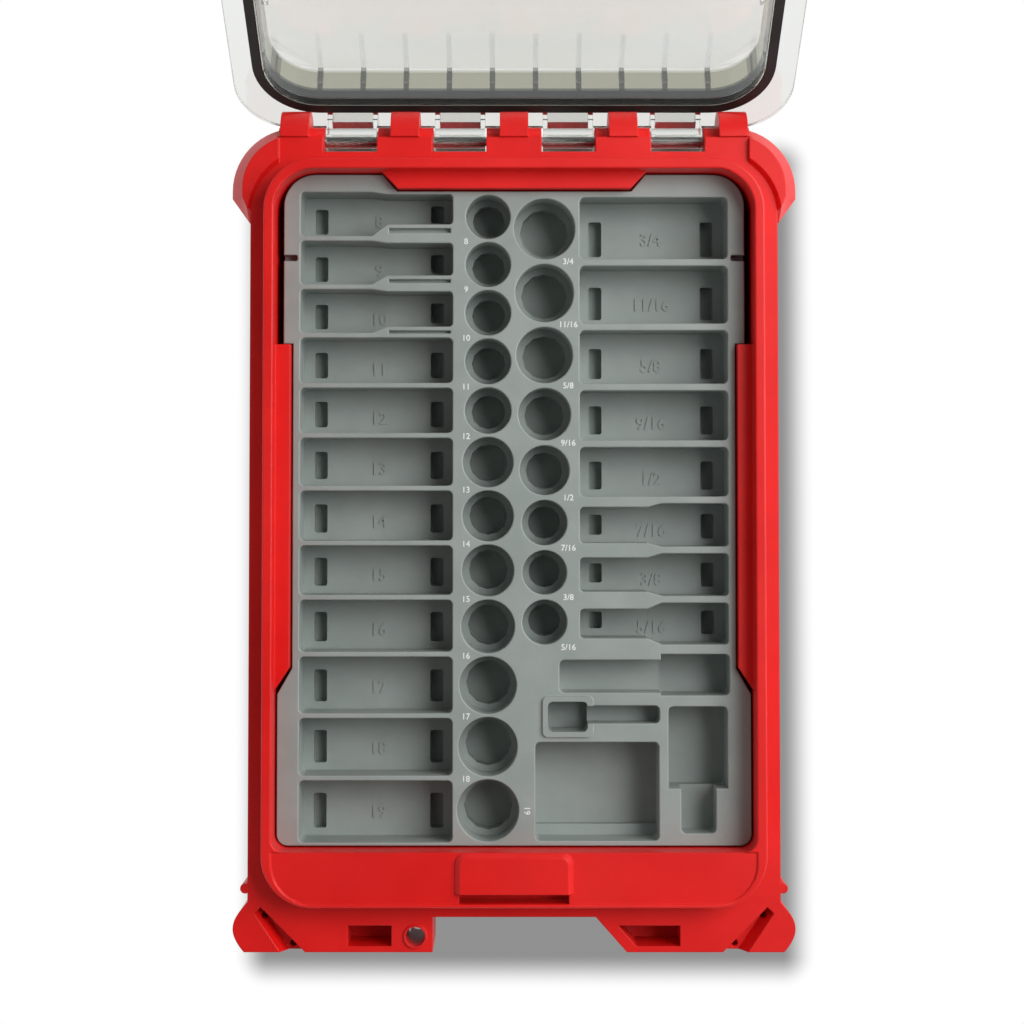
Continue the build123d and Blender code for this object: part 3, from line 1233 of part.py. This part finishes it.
export_step(base_shell.part, "parts/base_shell.step")
export_step(tray_long_wells.part, "parts/tray_long_wells.step")
export_step(tray_round_seats.part, "parts/tray_round_seats.step")
export_step(tray_cross_wells.part, "parts/tray_cross_wells.step")
export_step(tray_accessory_bins.part, "parts/tray_accessory_bins.step")
export_step(lid_shell.part, "parts/lid_shell.step")
export_step(lid_gasket.part, "parts/lid_gasket.step")
export_step(hinge_rod_left.part, "parts/hinge_rod_left.step")
export_step(hinge_rod_right.part, "parts/hinge_rod_right.step")
export_step(latch_left.part, "parts/latch_left.step")
export_step(latch_right.part, "parts/latch_right.step")
export_step(latch_pin_left.part, "parts/latch_pin_left.step")
export_step(latch_pin_right.part, "parts/latch_pin_right.step")
export_step(stack_slide.part, "parts/stack_slide.step")
export_step(stack_springs.part, "parts/stack_springs.step")
export_step(stack_cover.part, "parts/stack_cover.step")
export_step(stack_screws.part, "parts/stack_screws.step")
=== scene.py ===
import bpy
import json
import math
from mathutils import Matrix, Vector


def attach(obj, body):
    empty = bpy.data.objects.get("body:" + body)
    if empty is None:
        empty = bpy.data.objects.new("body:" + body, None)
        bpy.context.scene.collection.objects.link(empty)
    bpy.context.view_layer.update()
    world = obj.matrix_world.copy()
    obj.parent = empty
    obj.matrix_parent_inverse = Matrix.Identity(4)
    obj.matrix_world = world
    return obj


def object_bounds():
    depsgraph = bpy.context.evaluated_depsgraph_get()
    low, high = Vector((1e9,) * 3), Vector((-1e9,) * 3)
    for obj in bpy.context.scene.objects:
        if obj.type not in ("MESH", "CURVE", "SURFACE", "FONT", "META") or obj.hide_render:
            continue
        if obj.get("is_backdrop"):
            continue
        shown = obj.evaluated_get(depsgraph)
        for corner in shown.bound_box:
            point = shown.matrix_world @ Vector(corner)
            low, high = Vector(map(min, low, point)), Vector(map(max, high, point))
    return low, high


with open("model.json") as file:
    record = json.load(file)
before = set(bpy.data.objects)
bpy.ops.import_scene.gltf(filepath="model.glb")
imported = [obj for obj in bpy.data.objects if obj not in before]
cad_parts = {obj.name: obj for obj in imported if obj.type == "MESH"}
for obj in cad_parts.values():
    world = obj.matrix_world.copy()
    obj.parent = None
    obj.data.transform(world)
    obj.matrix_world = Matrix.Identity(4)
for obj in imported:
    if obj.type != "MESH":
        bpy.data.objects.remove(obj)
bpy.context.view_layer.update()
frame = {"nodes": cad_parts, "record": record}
nodes = frame["nodes"]
record = frame["record"]
mm = 0.001
bpy.context.scene.view_settings.view_transform = "Standard"
print("frame loaded:", len(nodes), "nodes")


# small helpers for building node trees

def addNode(tree, kind, x, y, **settings):
    node = tree.nodes.new(kind)
    node.location = (x, y)
    for key, value in settings.items():
        setattr(node, key, value)
    return node


def feed(tree, socket, value):
    # an output is linked to the socket, anything else is set on it
    if isinstance(value, bpy.types.NodeSocket):
        tree.links.new(value, socket)
    else:
        socket.default_value = value


def calculate(tree, x, y, operation, *values):
    node = addNode(tree, "ShaderNodeMath", x, y, operation=operation)
    for slot, value in enumerate(values):
        feed(tree, node.inputs[slot], value)
    return node.outputs[0]


def dotWith(tree, x, y, vector, direction):
    node = addNode(tree, "ShaderNodeVectorMath", x, y, operation="DOT_PRODUCT")
    feed(tree, node.inputs[0], vector)
    feed(tree, node.inputs[1], direction)
    return node.outputs["Value"]


def outsideBox(tree, x, y, sides):
    # how far a point lies outside a rectangle; sides holds each axis's value and half width
    joined = addNode(tree, "ShaderNodeCombineXYZ", x + 450, y)
    for slot, (value, half) in enumerate(sides):
        row = y - 150 * slot
        span = calculate(tree, x, row, "ABSOLUTE", value)
        past = calculate(tree, x + 150, row, "SUBTRACT", span, half)
        feed(tree, joined.inputs[slot], calculate(tree, x + 300, row, "MAXIMUM", past, 0))
    reach = addNode(tree, "ShaderNodeVectorMath", x + 600, y, operation="LENGTH")
    feed(tree, reach.inputs[0], joined.outputs[0])
    return reach.outputs["Value"]


def emptyGroup(name, inputs, outputs):
    tree = bpy.data.node_groups.new(name, "ShaderNodeTree")
    for label, value in inputs:
        socket = tree.interface.new_socket(label, in_out="INPUT", socket_type="NodeSocketFloat")
        socket.default_value = value
    for label in outputs:
        tree.interface.new_socket(label, in_out="OUTPUT", socket_type="NodeSocketFloat")
    return tree


def newMaterial(name):
    made = bpy.data.materials.new(name)
    made.use_nodes = True
    tree = made.node_tree
    tree.nodes.clear()
    surface = addNode(tree, "ShaderNodeBsdfPrincipled", 300, 0)
    out = addNode(tree, "ShaderNodeOutputMaterial", 700, 0)
    tree.links.new(surface.outputs[0], out.inputs[0])
    return made, tree, surface


def blendColours(tree, x, y, amount, first, second):
    mix = addNode(tree, "ShaderNodeMix", x, y, data_type="RGBA")
    feed(tree, mix.inputs["Factor"], amount)
    for label, colour in (("A", first), ("B", second)):
        feed(tree, mix.inputs[label], (*colour, 1) if isinstance(colour, tuple) else colour)
    return mix.outputs["Result"]


noiseSpan = (0.35, 0.65)    # where nearly all of a noise's values lie


def spread(tree, x, y, value, low, high):
    span = addNode(tree, "ShaderNodeMapRange", x, y)
    span.inputs["From Min"].default_value, span.inputs["From Max"].default_value = noiseSpan
    span.inputs["To Min"].default_value = low
    span.inputs["To Max"].default_value = high
    feed(tree, span.inputs["Value"], value)
    return span.outputs["Result"]


# spark-eroded mould texture: a fine pebble, and slow cloudy patches in gloss and colour

mouldNoise = {
    "pebbleScale": 2200.0, "pebbleDetail": 3.0,
    "cloudScale": 28.0, "cloudDetail": 4.0, "cloudRough": 0.6,
    "flowScale": 9.0, "flowDetail": 2.0, "flowWarp": 1.2,
}


def makeMouldGrain(look):
    scales = [("Pebble Scale", look["pebbleScale"]), ("Cloud Scale", look["cloudScale"])]
    tree = emptyGroup("mouldGrain", scales, ["Pebble", "Cloud", "Flow"])
    start = addNode(tree, "NodeGroupInput", -700, 0)
    end = addNode(tree, "NodeGroupOutput", 500, 0)
    where = addNode(tree, "ShaderNodeTexCoord", -700, -250)
    settings = (
        ("Pebble", {"Scale": start.outputs["Pebble Scale"], "Detail": look["pebbleDetail"]}),
        ("Cloud", {"Scale": start.outputs["Cloud Scale"], "Detail": look["cloudDetail"],
                   "Roughness": look["cloudRough"]}),
        ("Flow", {"Scale": look["flowScale"], "Detail": look["flowDetail"],
                  "Distortion": look["flowWarp"]}),
    )
    for row, (label, values) in enumerate(settings):
        noise = addNode(tree, "ShaderNodeTexNoise", -350, 200 - 260 * row)
        for key, value in values.items():
            feed(tree, noise.inputs[key], value)
        tree.links.new(where.outputs["Object"], noise.inputs["Vector"])
        tree.links.new(noise.outputs["Fac"], end.inputs[label])
    return tree


mouldGrain = makeMouldGrain(mouldNoise)


# moulded plastics, rubber and ink

bevelSamples = 4


def roundedNormal(tree, bump, edge):
    # softens the normal along edges before the bump is added
    rounded = addNode(tree, "ShaderNodeBevel", -150, -380, samples=bevelSamples)
    rounded.inputs["Radius"].default_value = edge
    tree.links.new(rounded.outputs["Normal"], bump.inputs["Normal"])


def mouldedPlastic(name, look):
    made, tree, surface = newMaterial(name)
    grain = addNode(tree, "ShaderNodeGroup", -600, 0, node_tree=mouldGrain)
    grain.inputs["Pebble Scale"].default_value = look["pebbleScale"]
    grain.inputs["Cloud Scale"].default_value = look["cloudScale"]
    shade = spread(tree, -350, 200, grain.outputs["Cloud"], 0, 1)
    colour = blendColours(tree, -120, 220, shade, look["dark"], look["light"])
    feed(tree, surface.inputs["Base Color"], colour)
    gloss = spread(tree, -350, -60, grain.outputs["Flow"], look["roughLow"], look["roughHigh"])
    feed(tree, surface.inputs["Roughness"], gloss)
    bump = addNode(tree, "ShaderNodeBump", 60, -220)
    bump.inputs["Strength"].default_value = look["bump"]
    bump.inputs["Distance"].default_value = look["bumpDepth"]
    feed(tree, bump.inputs["Height"], grain.outputs["Pebble"])
    if look["edge"] > 0:
        roundedNormal(tree, bump, look["edge"])
    feed(tree, surface.inputs["Normal"], bump.outputs["Normal"])
    surface.inputs["Specular IOR Level"].default_value = look["specular"]
    return made


casePlastic = {
    "dark": (0.690, 0.007, 0.006), "light": (0.770, 0.011, 0.009),
    "pebbleScale": 1800.0, "cloudScale": 24.0,
    "roughLow": 0.36, "roughHigh": 0.46, "specular": 0.40,
    "bump": 0.25, "bumpDepth": 0.06 * mm, "edge": 0.7 * mm,
}
trayPlastic = {
    "dark": (0.270, 0.305, 0.288), "light": (0.310, 0.345, 0.328),
    "pebbleScale": 2200.0, "cloudScale": 40.0,
    "roughLow": 0.38, "roughHigh": 0.52, "specular": 0.5,
    "bump": 0.22, "bumpDepth": 0.06 * mm, "edge": 0.0,
}
latchPlastic = {
    "dark": (0.022, 0.022, 0.023), "light": (0.034, 0.034, 0.035),
    "pebbleScale": 2000.0, "cloudScale": 40.0,
    "roughLow": 0.34, "roughHigh": 0.46, "specular": 0.5,
    "bump": 0.3, "bumpDepth": 0.06 * mm, "edge": 0.4 * mm,
}
sealRubber = {
    "dark": (0.010, 0.010, 0.009), "light": (0.018, 0.018, 0.016),
    "pebbleScale": 1500.0, "cloudScale": 60.0,
    "roughLow": 0.5, "roughHigh": 0.65, "specular": 0.4,
    "bump": 0.35, "bumpDepth": 0.06 * mm, "edge": 0.5 * mm,
}
whiteInk = {
    "dark": (0.74, 0.75, 0.73), "light": (0.86, 0.87, 0.85),
    "pebbleScale": 2600.0, "cloudScale": 900.0,
    "roughLow": 0.5, "roughHigh": 0.6, "specular": 0.4,
    "bump": 0.2, "bumpDepth": 0.06 * mm, "edge": 0.0,
}


# the lid's clear plastic, with painted shade on its walls

lidWalls = {
    "hingeY": 173.0 * mm, "hingeZ": 23.0 * mm, "opened": 125.0,
    "back": 165.1 * mm, "side": 112.4 * mm, "corner": 25.6 * mm,
    "ribPitch": 19.4 * mm, "ribWidth": 2.4 * mm,
}


def makeWallShadeBand(walls):
    # masks where painted shade goes on the lid's walls inside the gasket, between two heights on
    # the closed lid
    tree = emptyGroup("wallShadeBand", [("Low", 0.0), ("High", 0.0)], ["ShadeBand", "RibShade"])
    start = addNode(tree, "NodeGroupInput", -300, 100)
    end = addNode(tree, "NodeGroupOutput", 900, 0)
    where = addNode(tree, "ShaderNodeTexCoord", -1100, -250)
    aside = addNode(tree, "ShaderNodeSeparateXYZ", -900, -650)
    tree.links.new(where.outputs["Object"], aside.inputs[0])
    # the lid is open at rest, so each point is turned back about the hinge
    fromHinge = addNode(tree, "ShaderNodeVectorMath", -900, -250, operation="SUBTRACT")
    tree.links.new(where.outputs["Object"], fromHinge.inputs[0])
    fromHinge.inputs[1].default_value = (0, walls["hingeY"], walls["hingeZ"])
    opened = math.radians(walls["opened"])
    upwards = (0, math.sin(opened), math.cos(opened))
    backwards = (0, math.cos(opened), -math.sin(opened))
    raised = dotWith(tree, -700, -250, fromHinge.outputs[0], upwards)
    height = calculate(tree, -500, -250, "ADD", raised, walls["hingeZ"])
    along = dotWith(tree, -700, -450, fromHinge.outputs[0], backwards)
    depth = calculate(tree, -500, -450, "ADD", along, walls["hingeY"])
    above = calculate(tree, -100, 100, "GREATER_THAN", height, start.outputs["Low"])
    below = calculate(tree, -100, -100, "LESS_THAN", height, start.outputs["High"])
    between = calculate(tree, 100, 0, "MULTIPLY", above, below)
    # a rounded rectangle keeps the flange beyond the gasket clear
    straightSide = walls["side"] - walls["corner"]
    straightBack = walls["back"] - walls["corner"]
    sides = ((aside.outputs["X"], straightSide), (depth, straightBack))
    past = outsideBox(tree, -300, -500, sides)
    inside = calculate(tree, 500, -500, "LESS_THAN", past, walls["corner"])
    shadeBand = calculate(tree, 650, 0, "MULTIPLY", between, inside)
    tree.links.new(shadeBand, end.inputs["ShadeBand"])
    # the rib lines of painted shade stand at half steps of their pitch, down the back wall only
    steps = calculate(tree, -300, -850, "DIVIDE", aside.outputs["X"], walls["ribPitch"])
    part = calculate(tree, -150, -850, "FRACT", steps)
    halfRib = walls["ribWidth"] / 2 / walls["ribPitch"]
    onRib = calculate(tree, 0, -850, "COMPARE", part, 0.5, halfRib)
    onBack = calculate(tree, 0, -1000, "GREATER_THAN", depth, straightBack)
    ribs = calculate(tree, 200, -900, "MULTIPLY", onRib, onBack)
    tree.links.new(calculate(tree, 650, -200, "MULTIPLY", ribs, shadeBand), end.inputs["RibShade"])
    return tree


wallShadeBand = makeWallShadeBand(lidWalls)


def clearPlastic(name, look):
    made, tree, surface = newMaterial(name)
    grain = addNode(tree, "ShaderNodeGroup", -600, 0, node_tree=mouldGrain)
    grain.inputs["Cloud Scale"].default_value = look["rippleScale"]
    toneAndShade = blendColours(tree, -120, 220, grain.outputs["Flow"], look["tintDark"], look["tintLight"])
    # painted shade: the walls, and their foot most of all, are darkened, and the ribs drawn as dark
    # lines, to stand in for how the walls look when seen nearly edge-on
    for x, zone, mask in ((60, "wall", "ShadeBand"), (240, "foot", "ShadeBand"), (420, "ribs", "RibShade")):
        shadeBand = addNode(tree, "ShaderNodeGroup", x - 400, 420, node_tree=wallShadeBand)
        shadeBand.inputs["Low"].default_value, shadeBand.inputs["High"].default_value = look[zone]
        toneAndShade = blendColours(tree, x, 320, shadeBand.outputs[mask], toneAndShade, look[zone + "Tint"])
    feed(tree, surface.inputs["Base Color"], toneAndShade)
    surface.inputs["Roughness"].default_value = look["rough"]
    surface.inputs["IOR"].default_value = look["ior"]
    surface.inputs["Transmission Weight"].default_value = 1.0
    ripple = addNode(tree, "ShaderNodeBump", 60, -220)
    ripple.inputs["Strength"].default_value = look["ripple"]
    ripple.inputs["Distance"].default_value = look["rippleDepth"]
    feed(tree, ripple.inputs["Height"], grain.outputs["Cloud"])
    roundedNormal(tree, ripple, look["edge"])
    feed(tree, surface.inputs["Normal"], ripple.outputs["Normal"])
    # light passes straight through to what lies below, so the sheet throws only a faint shadow
    through = addNode(tree, "ShaderNodeBsdfTransparent", 300, -420)
    through.inputs["Color"].default_value = (*look["shadowTint"], 1)
    path = addNode(tree, "ShaderNodeLightPath", 100, 420)
    mix = addNode(tree, "ShaderNodeMixShader", 520, 120)
    parts = (path.outputs["Is Shadow Ray"], surface.outputs[0], through.outputs[0])
    for slot, value in enumerate(parts):
        tree.links.new(value, mix.inputs[slot])
    tree.links.new(mix.outputs[0], tree.nodes["Material Output"].inputs[0])
    return made


lidPlastic = {
    "tintDark": (0.80, 0.81, 0.78), "tintLight": (0.86, 0.87, 0.85),
    "shadowTint": (0.80, 0.81, 0.80), "rough": 0.04, "ior": 1.49, "edge": 0.45 * mm,
    "ripple": 0.18, "rippleDepth": 0.4 * mm, "rippleScale": 90.0,
    # painted shade: the wall and its foot are tinted darker between these heights
    "wall": (35.0 * mm, 57.0 * mm), "wallTint": (0.40, 0.405, 0.33),
    "foot": (36.6 * mm, 45.5 * mm), "footTint": (0.10, 0.105, 0.105),
    # painted shade: the rib lines are drawn dark between these heights
    "ribs": (45.5 * mm, 57.0 * mm), "ribsTint": (0.15, 0.155, 0.14),
}


# drawn steel for the rods, pins, springs and screws

drawnWire = {
    "tone": (0.60, 0.60, 0.61), "dull": (0.42, 0.42, 0.43),
    "drawLines": 2400.0, "drawDetail": 3.0, "drawStretch": 0.02,
    "roughLow": 0.2, "roughHigh": 0.34,
}


def brightSteel(name, look):
    made, tree, surface = newMaterial(name)
    where = addNode(tree, "ShaderNodeTexCoord", -900, 0)
    along = addNode(tree, "ShaderNodeMapping", -700, 0)
    along.inputs["Scale"].default_value = (look["drawStretch"], 1.0, 1.0)
    lines = addNode(tree, "ShaderNodeTexNoise", -500, 0)
    lines.inputs["Scale"].default_value = look["drawLines"]
    lines.inputs["Detail"].default_value = look["drawDetail"]
    feed(tree, along.inputs["Vector"], where.outputs["Object"])
    feed(tree, lines.inputs["Vector"], along.outputs["Vector"])
    colour = blendColours(tree, -120, 220, lines.outputs["Fac"], look["dull"], look["tone"])
    gloss = spread(tree, -150, -60, lines.outputs["Fac"], look["roughLow"], look["roughHigh"])
    feed(tree, surface.inputs["Base Color"], colour)
    feed(tree, surface.inputs["Roughness"], gloss)
    surface.inputs["Metallic"].default_value = 1.0
    return made


finishes = {
    "case_red": mouldedPlastic("caseRed", casePlastic),
    "tray_grey": mouldedPlastic("trayGrey", trayPlastic),
    "latch_black": mouldedPlastic("latchBlack", latchPlastic),
    "gasket_black": mouldedPlastic("sealRubber", sealRubber),
    "lid_clear": clearPlastic("lidClear", lidPlastic),
    "steel": brightSteel("drawnSteel", drawnWire),
}
inkWhite = mouldedPlastic("inkWhite", whiteInk)
for part in record["subparts"]:
    mesh = nodes[part["node"]].data
    mesh.materials.clear()
    mesh.materials.append(finishes[part["material_slot"]])
print("finishes set on", len(record["subparts"]), "nodes")


# sizes printed beside the seats and moulded in the well floors

labels = {
    "printHeight": 3.7 * mm, "printThick": 0.05 * mm, "printLevel": 34.0 * mm,
    "printLeft": 9.7 * mm, "printRight": 10.4 * mm, "printBelow": 1.2 * mm,
    "onEnd": "19", "onEndRight": 17.0 * mm,    # the last seat's size stands on end beside it
    "mouldHeight": 7.6 * mm, "mouldThick": 0.45 * mm, "mouldLevel": 14.0 * mm,
    "mouldDrop": 3.0 * mm, "boldness": 0.012, "curveSteps": 3,
}


def clearSelection():
    bpy.ops.object.select_all(action="DESELECT")


def solidText(name, words, height, thick, place, turn, material):
    # a word as a thin solid whose underside lies at the place
    clearSelection()
    bpy.ops.object.text_add(location=place)
    made = bpy.context.object
    made.name = name
    made.data.body = words
    made.data.size = height
    made.data.extrude = thick / 2
    made.data.offset = height * labels["boldness"]
    made.data.align_x = "CENTER"
    made.data.align_y = "CENTER"
    made.data.resolution_u = labels["curveSteps"]
    made.rotation_euler = (0, 0, turn)
    made.location.z = place[2] + thick / 2
    bpy.ops.object.convert(target="MESH")
    bpy.ops.object.transform_apply(location=True, rotation=True, scale=True)
    made.data.materials.clear()
    made.data.materials.append(material)
    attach(made, "base")
    return made


seats = [m for m in record["mounts"] if m["name"].startswith("seat_")]
inchSizes = []
for mount in seats:
    x, y, _ = mount["pos_m"]
    radius = mount["dims"]["r_mm"] * mm
    metric = mount["name"].endswith("_mm")
    words = mount["name"].removeprefix("seat_").removesuffix("_mm").removesuffix("_in")
    words = words.replace("_", "/")
    if not metric:
        inchSizes.append(words)
    turn = 0.0
    across = -labels["printLeft"] if metric else labels["printRight"]
    down = -radius - labels["printBelow"]
    if words == labels["onEnd"]:
        turn, across, down = -math.pi / 2, labels["onEndRight"], 0.0
    place = (x + across, y + down, labels["printLevel"])
    text = solidText("printed_" + words.replace("/", "_"), words, labels["printHeight"],
                     labels["printThick"], place, turn, inkWhite)
print("printed", len(seats), "sizes beside the seats")

wells = [o for o in record["physics"]["openings"] if "_well_" in o["name"]]
for well in wells:
    low, high = well["box_m"]
    order = well["name"].split("_")[-1]
    words = inchSizes[int(order) - 1] if well["name"].startswith("cross") else order
    middle = [(a + b) / 2 for a, b in zip(low, high)]
    place = (middle[0], middle[1] - labels["mouldDrop"], labels["mouldLevel"])
    text = solidText("moulded_" + words.replace("/", "_"), words, labels["mouldHeight"],
                     labels["mouldThick"], place, 0.0, finishes["tray_grey"])
print("moulded", len(wells), "sizes in the well floors")


# slanting ridges moulded on the hinge lugs' barrels

lugRidges = {
    "lugs": 4, "pitch": 48.2 * mm, "width": 21.6 * mm, "barrel": 6.0 * mm,
    "ridgeWide": 0.5 * mm, "ridgeHigh": 0.28 * mm, "ridgePitch": 1.25 * mm,
    "slant": 3.2 * mm, "sunk": 0.05 * mm, "mergeGap": 0.01 * mm,
    "firstAngle": 98.0, "lastAngle": 178.0, "steps": 9,
}
hinge = next(j for j in record["behaviour"]["joints"] if j["name"] == "lid_hinge")


def slantedRidges(name, centreX, look):
    _, hingeY, hingeZ = hinge["pos_m"]
    ridges = int((look["width"] - look["slant"] - look["ridgeWide"]) / look["ridgePitch"]) + 1
    startX = centreX - look["width"] / 2 + look["ridgeWide"] / 2
    first = math.radians(look["firstAngle"])
    sweep = math.radians(look["lastAngle"] - look["firstAngle"])
    reach = look["barrel"] + look["ridgeHigh"] / 2 - look["sunk"]
    place = (startX, hingeY + reach * math.cos(first), hingeZ + reach * math.sin(first))
    clearSelection()
    bpy.ops.mesh.primitive_plane_add(size=1, location=place, rotation=(first, 0, 0))
    made = bpy.context.object
    made.name = name
    made.scale = (look["ridgeWide"], look["ridgeHigh"], 1)
    bpy.ops.object.transform_apply(location=True, rotation=True, scale=True)
    bpy.ops.object.mode_set(mode="EDIT")
    bpy.ops.mesh.select_all(action="SELECT")
    bpy.ops.mesh.spin(steps=look["steps"], angle=-sweep, center=(startX, hingeY, hingeZ),
                      axis=(1, 0, 0))
    bpy.ops.mesh.select_all(action="SELECT")
    bpy.ops.mesh.remove_doubles(threshold=look["mergeGap"])
    bpy.ops.mesh.normals_make_consistent(inside=False)
    bpy.ops.object.mode_set(mode="OBJECT")
    for point in made.data.vertices:    # the ridge drifts sideways as it goes round
        turned = math.atan2(point.co.z - hingeZ, point.co.y - hingeY) - first
        point.co.x += look["slant"] * turned / sweep
    rows = made.modifiers.new("rows", "ARRAY")
    rows.use_relative_offset = False
    rows.use_constant_offset = True
    rows.constant_offset_displace = (look["ridgePitch"], 0, 0)
    rows.count = ridges
    bpy.ops.object.modifier_apply(modifier="rows")
    made.data.materials.append(finishes["lid_clear"])
    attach(made, "lid")


for index in range(lugRidges["lugs"]):
    centreX = (index - (lugRidges["lugs"] - 1) / 2) * lugRidges["pitch"]
    slantedRidges("lug_ridges_%d" % (index + 1), centreX, lugRidges)
print("ridges on", lugRidges["lugs"], "lugs")


# pale floor with a soft shade where the case stands

paleFloor = {
    "size": 12.0, "paint": (0.90, 0.90, 0.895), "rough": 0.9, "specular": 0.0,
    "shadeLow": (-111 * mm, -192 * mm), "shadeHigh": (121 * mm, 165 * mm),
    "shadeBlur": 16 * mm, "shadeDepth": 0.28,
}


def makeContactShade(look):
    # how light the floor looks: dim in a rectangle under the case, white beyond the blur
    inputs = [("Blur", look["shadeBlur"]), ("Depth", look["shadeDepth"])]
    tree = emptyGroup("contactShade", inputs, ["Level"])
    start = addNode(tree, "NodeGroupInput", -50, 300)
    end = addNode(tree, "NodeGroupOutput", 500, 0)
    where = addNode(tree, "ShaderNodeTexCoord", -1300, 0)
    split = addNode(tree, "ShaderNodeSeparateXYZ", -1100, 0)
    tree.links.new(where.outputs["Object"], split.inputs[0])
    sides = []
    for axis, (low, high) in enumerate(zip(look["shadeLow"], look["shadeHigh"])):
        centre = (low + high) / 2
        offset = calculate(tree, -900, -150 * axis, "SUBTRACT", split.outputs[axis], centre)
        sides.append((offset, (high - low) / 2))
    fade = addNode(tree, "ShaderNodeMapRange", 200, 0, interpolation_type="SMOOTHSTEP")
    feed(tree, fade.inputs["Value"], outsideBox(tree, -700, 0, sides))
    feed(tree, fade.inputs["From Max"], start.outputs["Blur"])
    feed(tree, fade.inputs["To Min"], start.outputs["Depth"])
    tree.links.new(fade.outputs["Result"], end.inputs["Level"])
    return tree


def whiteFloor(look):
    clearSelection()
    bpy.ops.mesh.primitive_plane_add(size=look["size"], location=(0, 0, 0))
    floor = bpy.context.object
    floor.name = "floor"
    made, tree, surface = newMaterial("paleFloor")
    surface.inputs["Roughness"].default_value = look["rough"]
    surface.inputs["Specular IOR Level"].default_value = look["specular"]
    # the camera, gloss and clear plastic see plain white with the shade; light sees pale paint
    rays = addNode(tree, "ShaderNodeLightPath", -600, 300).outputs
    seen = calculate(tree, -400, 300, "MAXIMUM", rays["Is Camera Ray"], rays["Is Glossy Ray"])
    seen = calculate(tree, -200, 300, "MAXIMUM", seen, rays["Is Transmission Ray"])
    paint = blendColours(tree, 0, 100, seen, look["paint"], (0, 0, 0))
    feed(tree, surface.inputs["Base Color"], paint)
    shade = addNode(tree, "ShaderNodeGroup", -200, -200, node_tree=makeContactShade(look))
    level = calculate(tree, 0, -200, "MULTIPLY", seen, shade.outputs["Level"])
    surface.inputs["Emission Color"].default_value = (1, 1, 1, 1)
    feed(tree, surface.inputs["Emission Strength"], level)
    floor.data.materials.append(made)
    floor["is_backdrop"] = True


whiteFloor(paleFloor)


# two soft boxes, and light from all round that is weaker straight above, where the camera stands

studio = {
    "keyPlace": (0.95, 0.4, 1.05), "keySize": 1.1, "keyPower": 23.5,
    "fillPlace": (-1.0, -0.2, 1.2), "fillSize": 1.2, "fillPower": 1.6,
    "horizonLight": 0.75, "zenithLight": 0.02, "seenWhite": 1.0,
}


def softBox(name, place, size, power):
    bpy.ops.object.light_add(type="AREA", location=place)
    lamp = bpy.context.object
    lamp.name = name
    lamp.data.size = size
    lamp.data.energy = power
    lamp.rotation_euler = (-Vector(place)).to_track_quat("-Z", "Y").to_euler()


def studioSky(look):
    world = bpy.data.worlds.new("studioWorld")
    bpy.context.scene.world = world
    world.use_nodes = True
    tree = world.node_tree
    sky = tree.nodes["Background"]
    sky.inputs["Color"].default_value = (1, 1, 1, 1)
    way = addNode(tree, "ShaderNodeTexCoord", -1100, 0)
    split = addNode(tree, "ShaderNodeSeparateXYZ", -900, 0)
    feed(tree, split.inputs[0], way.outputs["Generated"])
    fade = addNode(tree, "ShaderNodeMapRange", -700, 0)
    fade.inputs["To Min"].default_value = look["horizonLight"]
    fade.inputs["To Max"].default_value = look["zenithLight"]
    feed(tree, fade.inputs["Value"], split.outputs["Z"])
    path = addNode(tree, "ShaderNodeLightPath", -700, 300)
    mix = addNode(tree, "ShaderNodeMix", -400, 200, data_type="FLOAT")
    feed(tree, mix.inputs["Factor"], path.outputs["Is Camera Ray"])
    feed(tree, mix.inputs["A"], fade.outputs["Result"])
    feed(tree, mix.inputs["B"], look["seenWhite"])
    feed(tree, sky.inputs["Strength"], mix.outputs["Result"])


softBox("keyBox", studio["keyPlace"], studio["keySize"], studio["keyPower"])
softBox("fillBox", studio["fillPlace"], studio["fillSize"], studio["fillPower"])
studioSky(studio)

camera = {
    "place": (-0.9 * mm, 10.8 * mm, 912.0 * mm), "tiltBack": 2.0, "nearest": 0.05,
    "focalPixels": 2001.3, "frame": 1024, "sensor": 36.0, "shiftY": -0.0752,
}
tilt = math.radians(camera["tiltBack"])
bpy.ops.object.camera_add(location=camera["place"], rotation=(tilt, 0, 0))
eye = bpy.context.object
eye.data.sensor_width = camera["sensor"]
eye.data.lens = camera["focalPixels"] / camera["frame"] * camera["sensor"]
eye.data.shift_y = camera["shiftY"]
eye.data.clip_start = camera["nearest"]
bpy.context.scene.camera = eye
print("studio ready")

low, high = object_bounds()
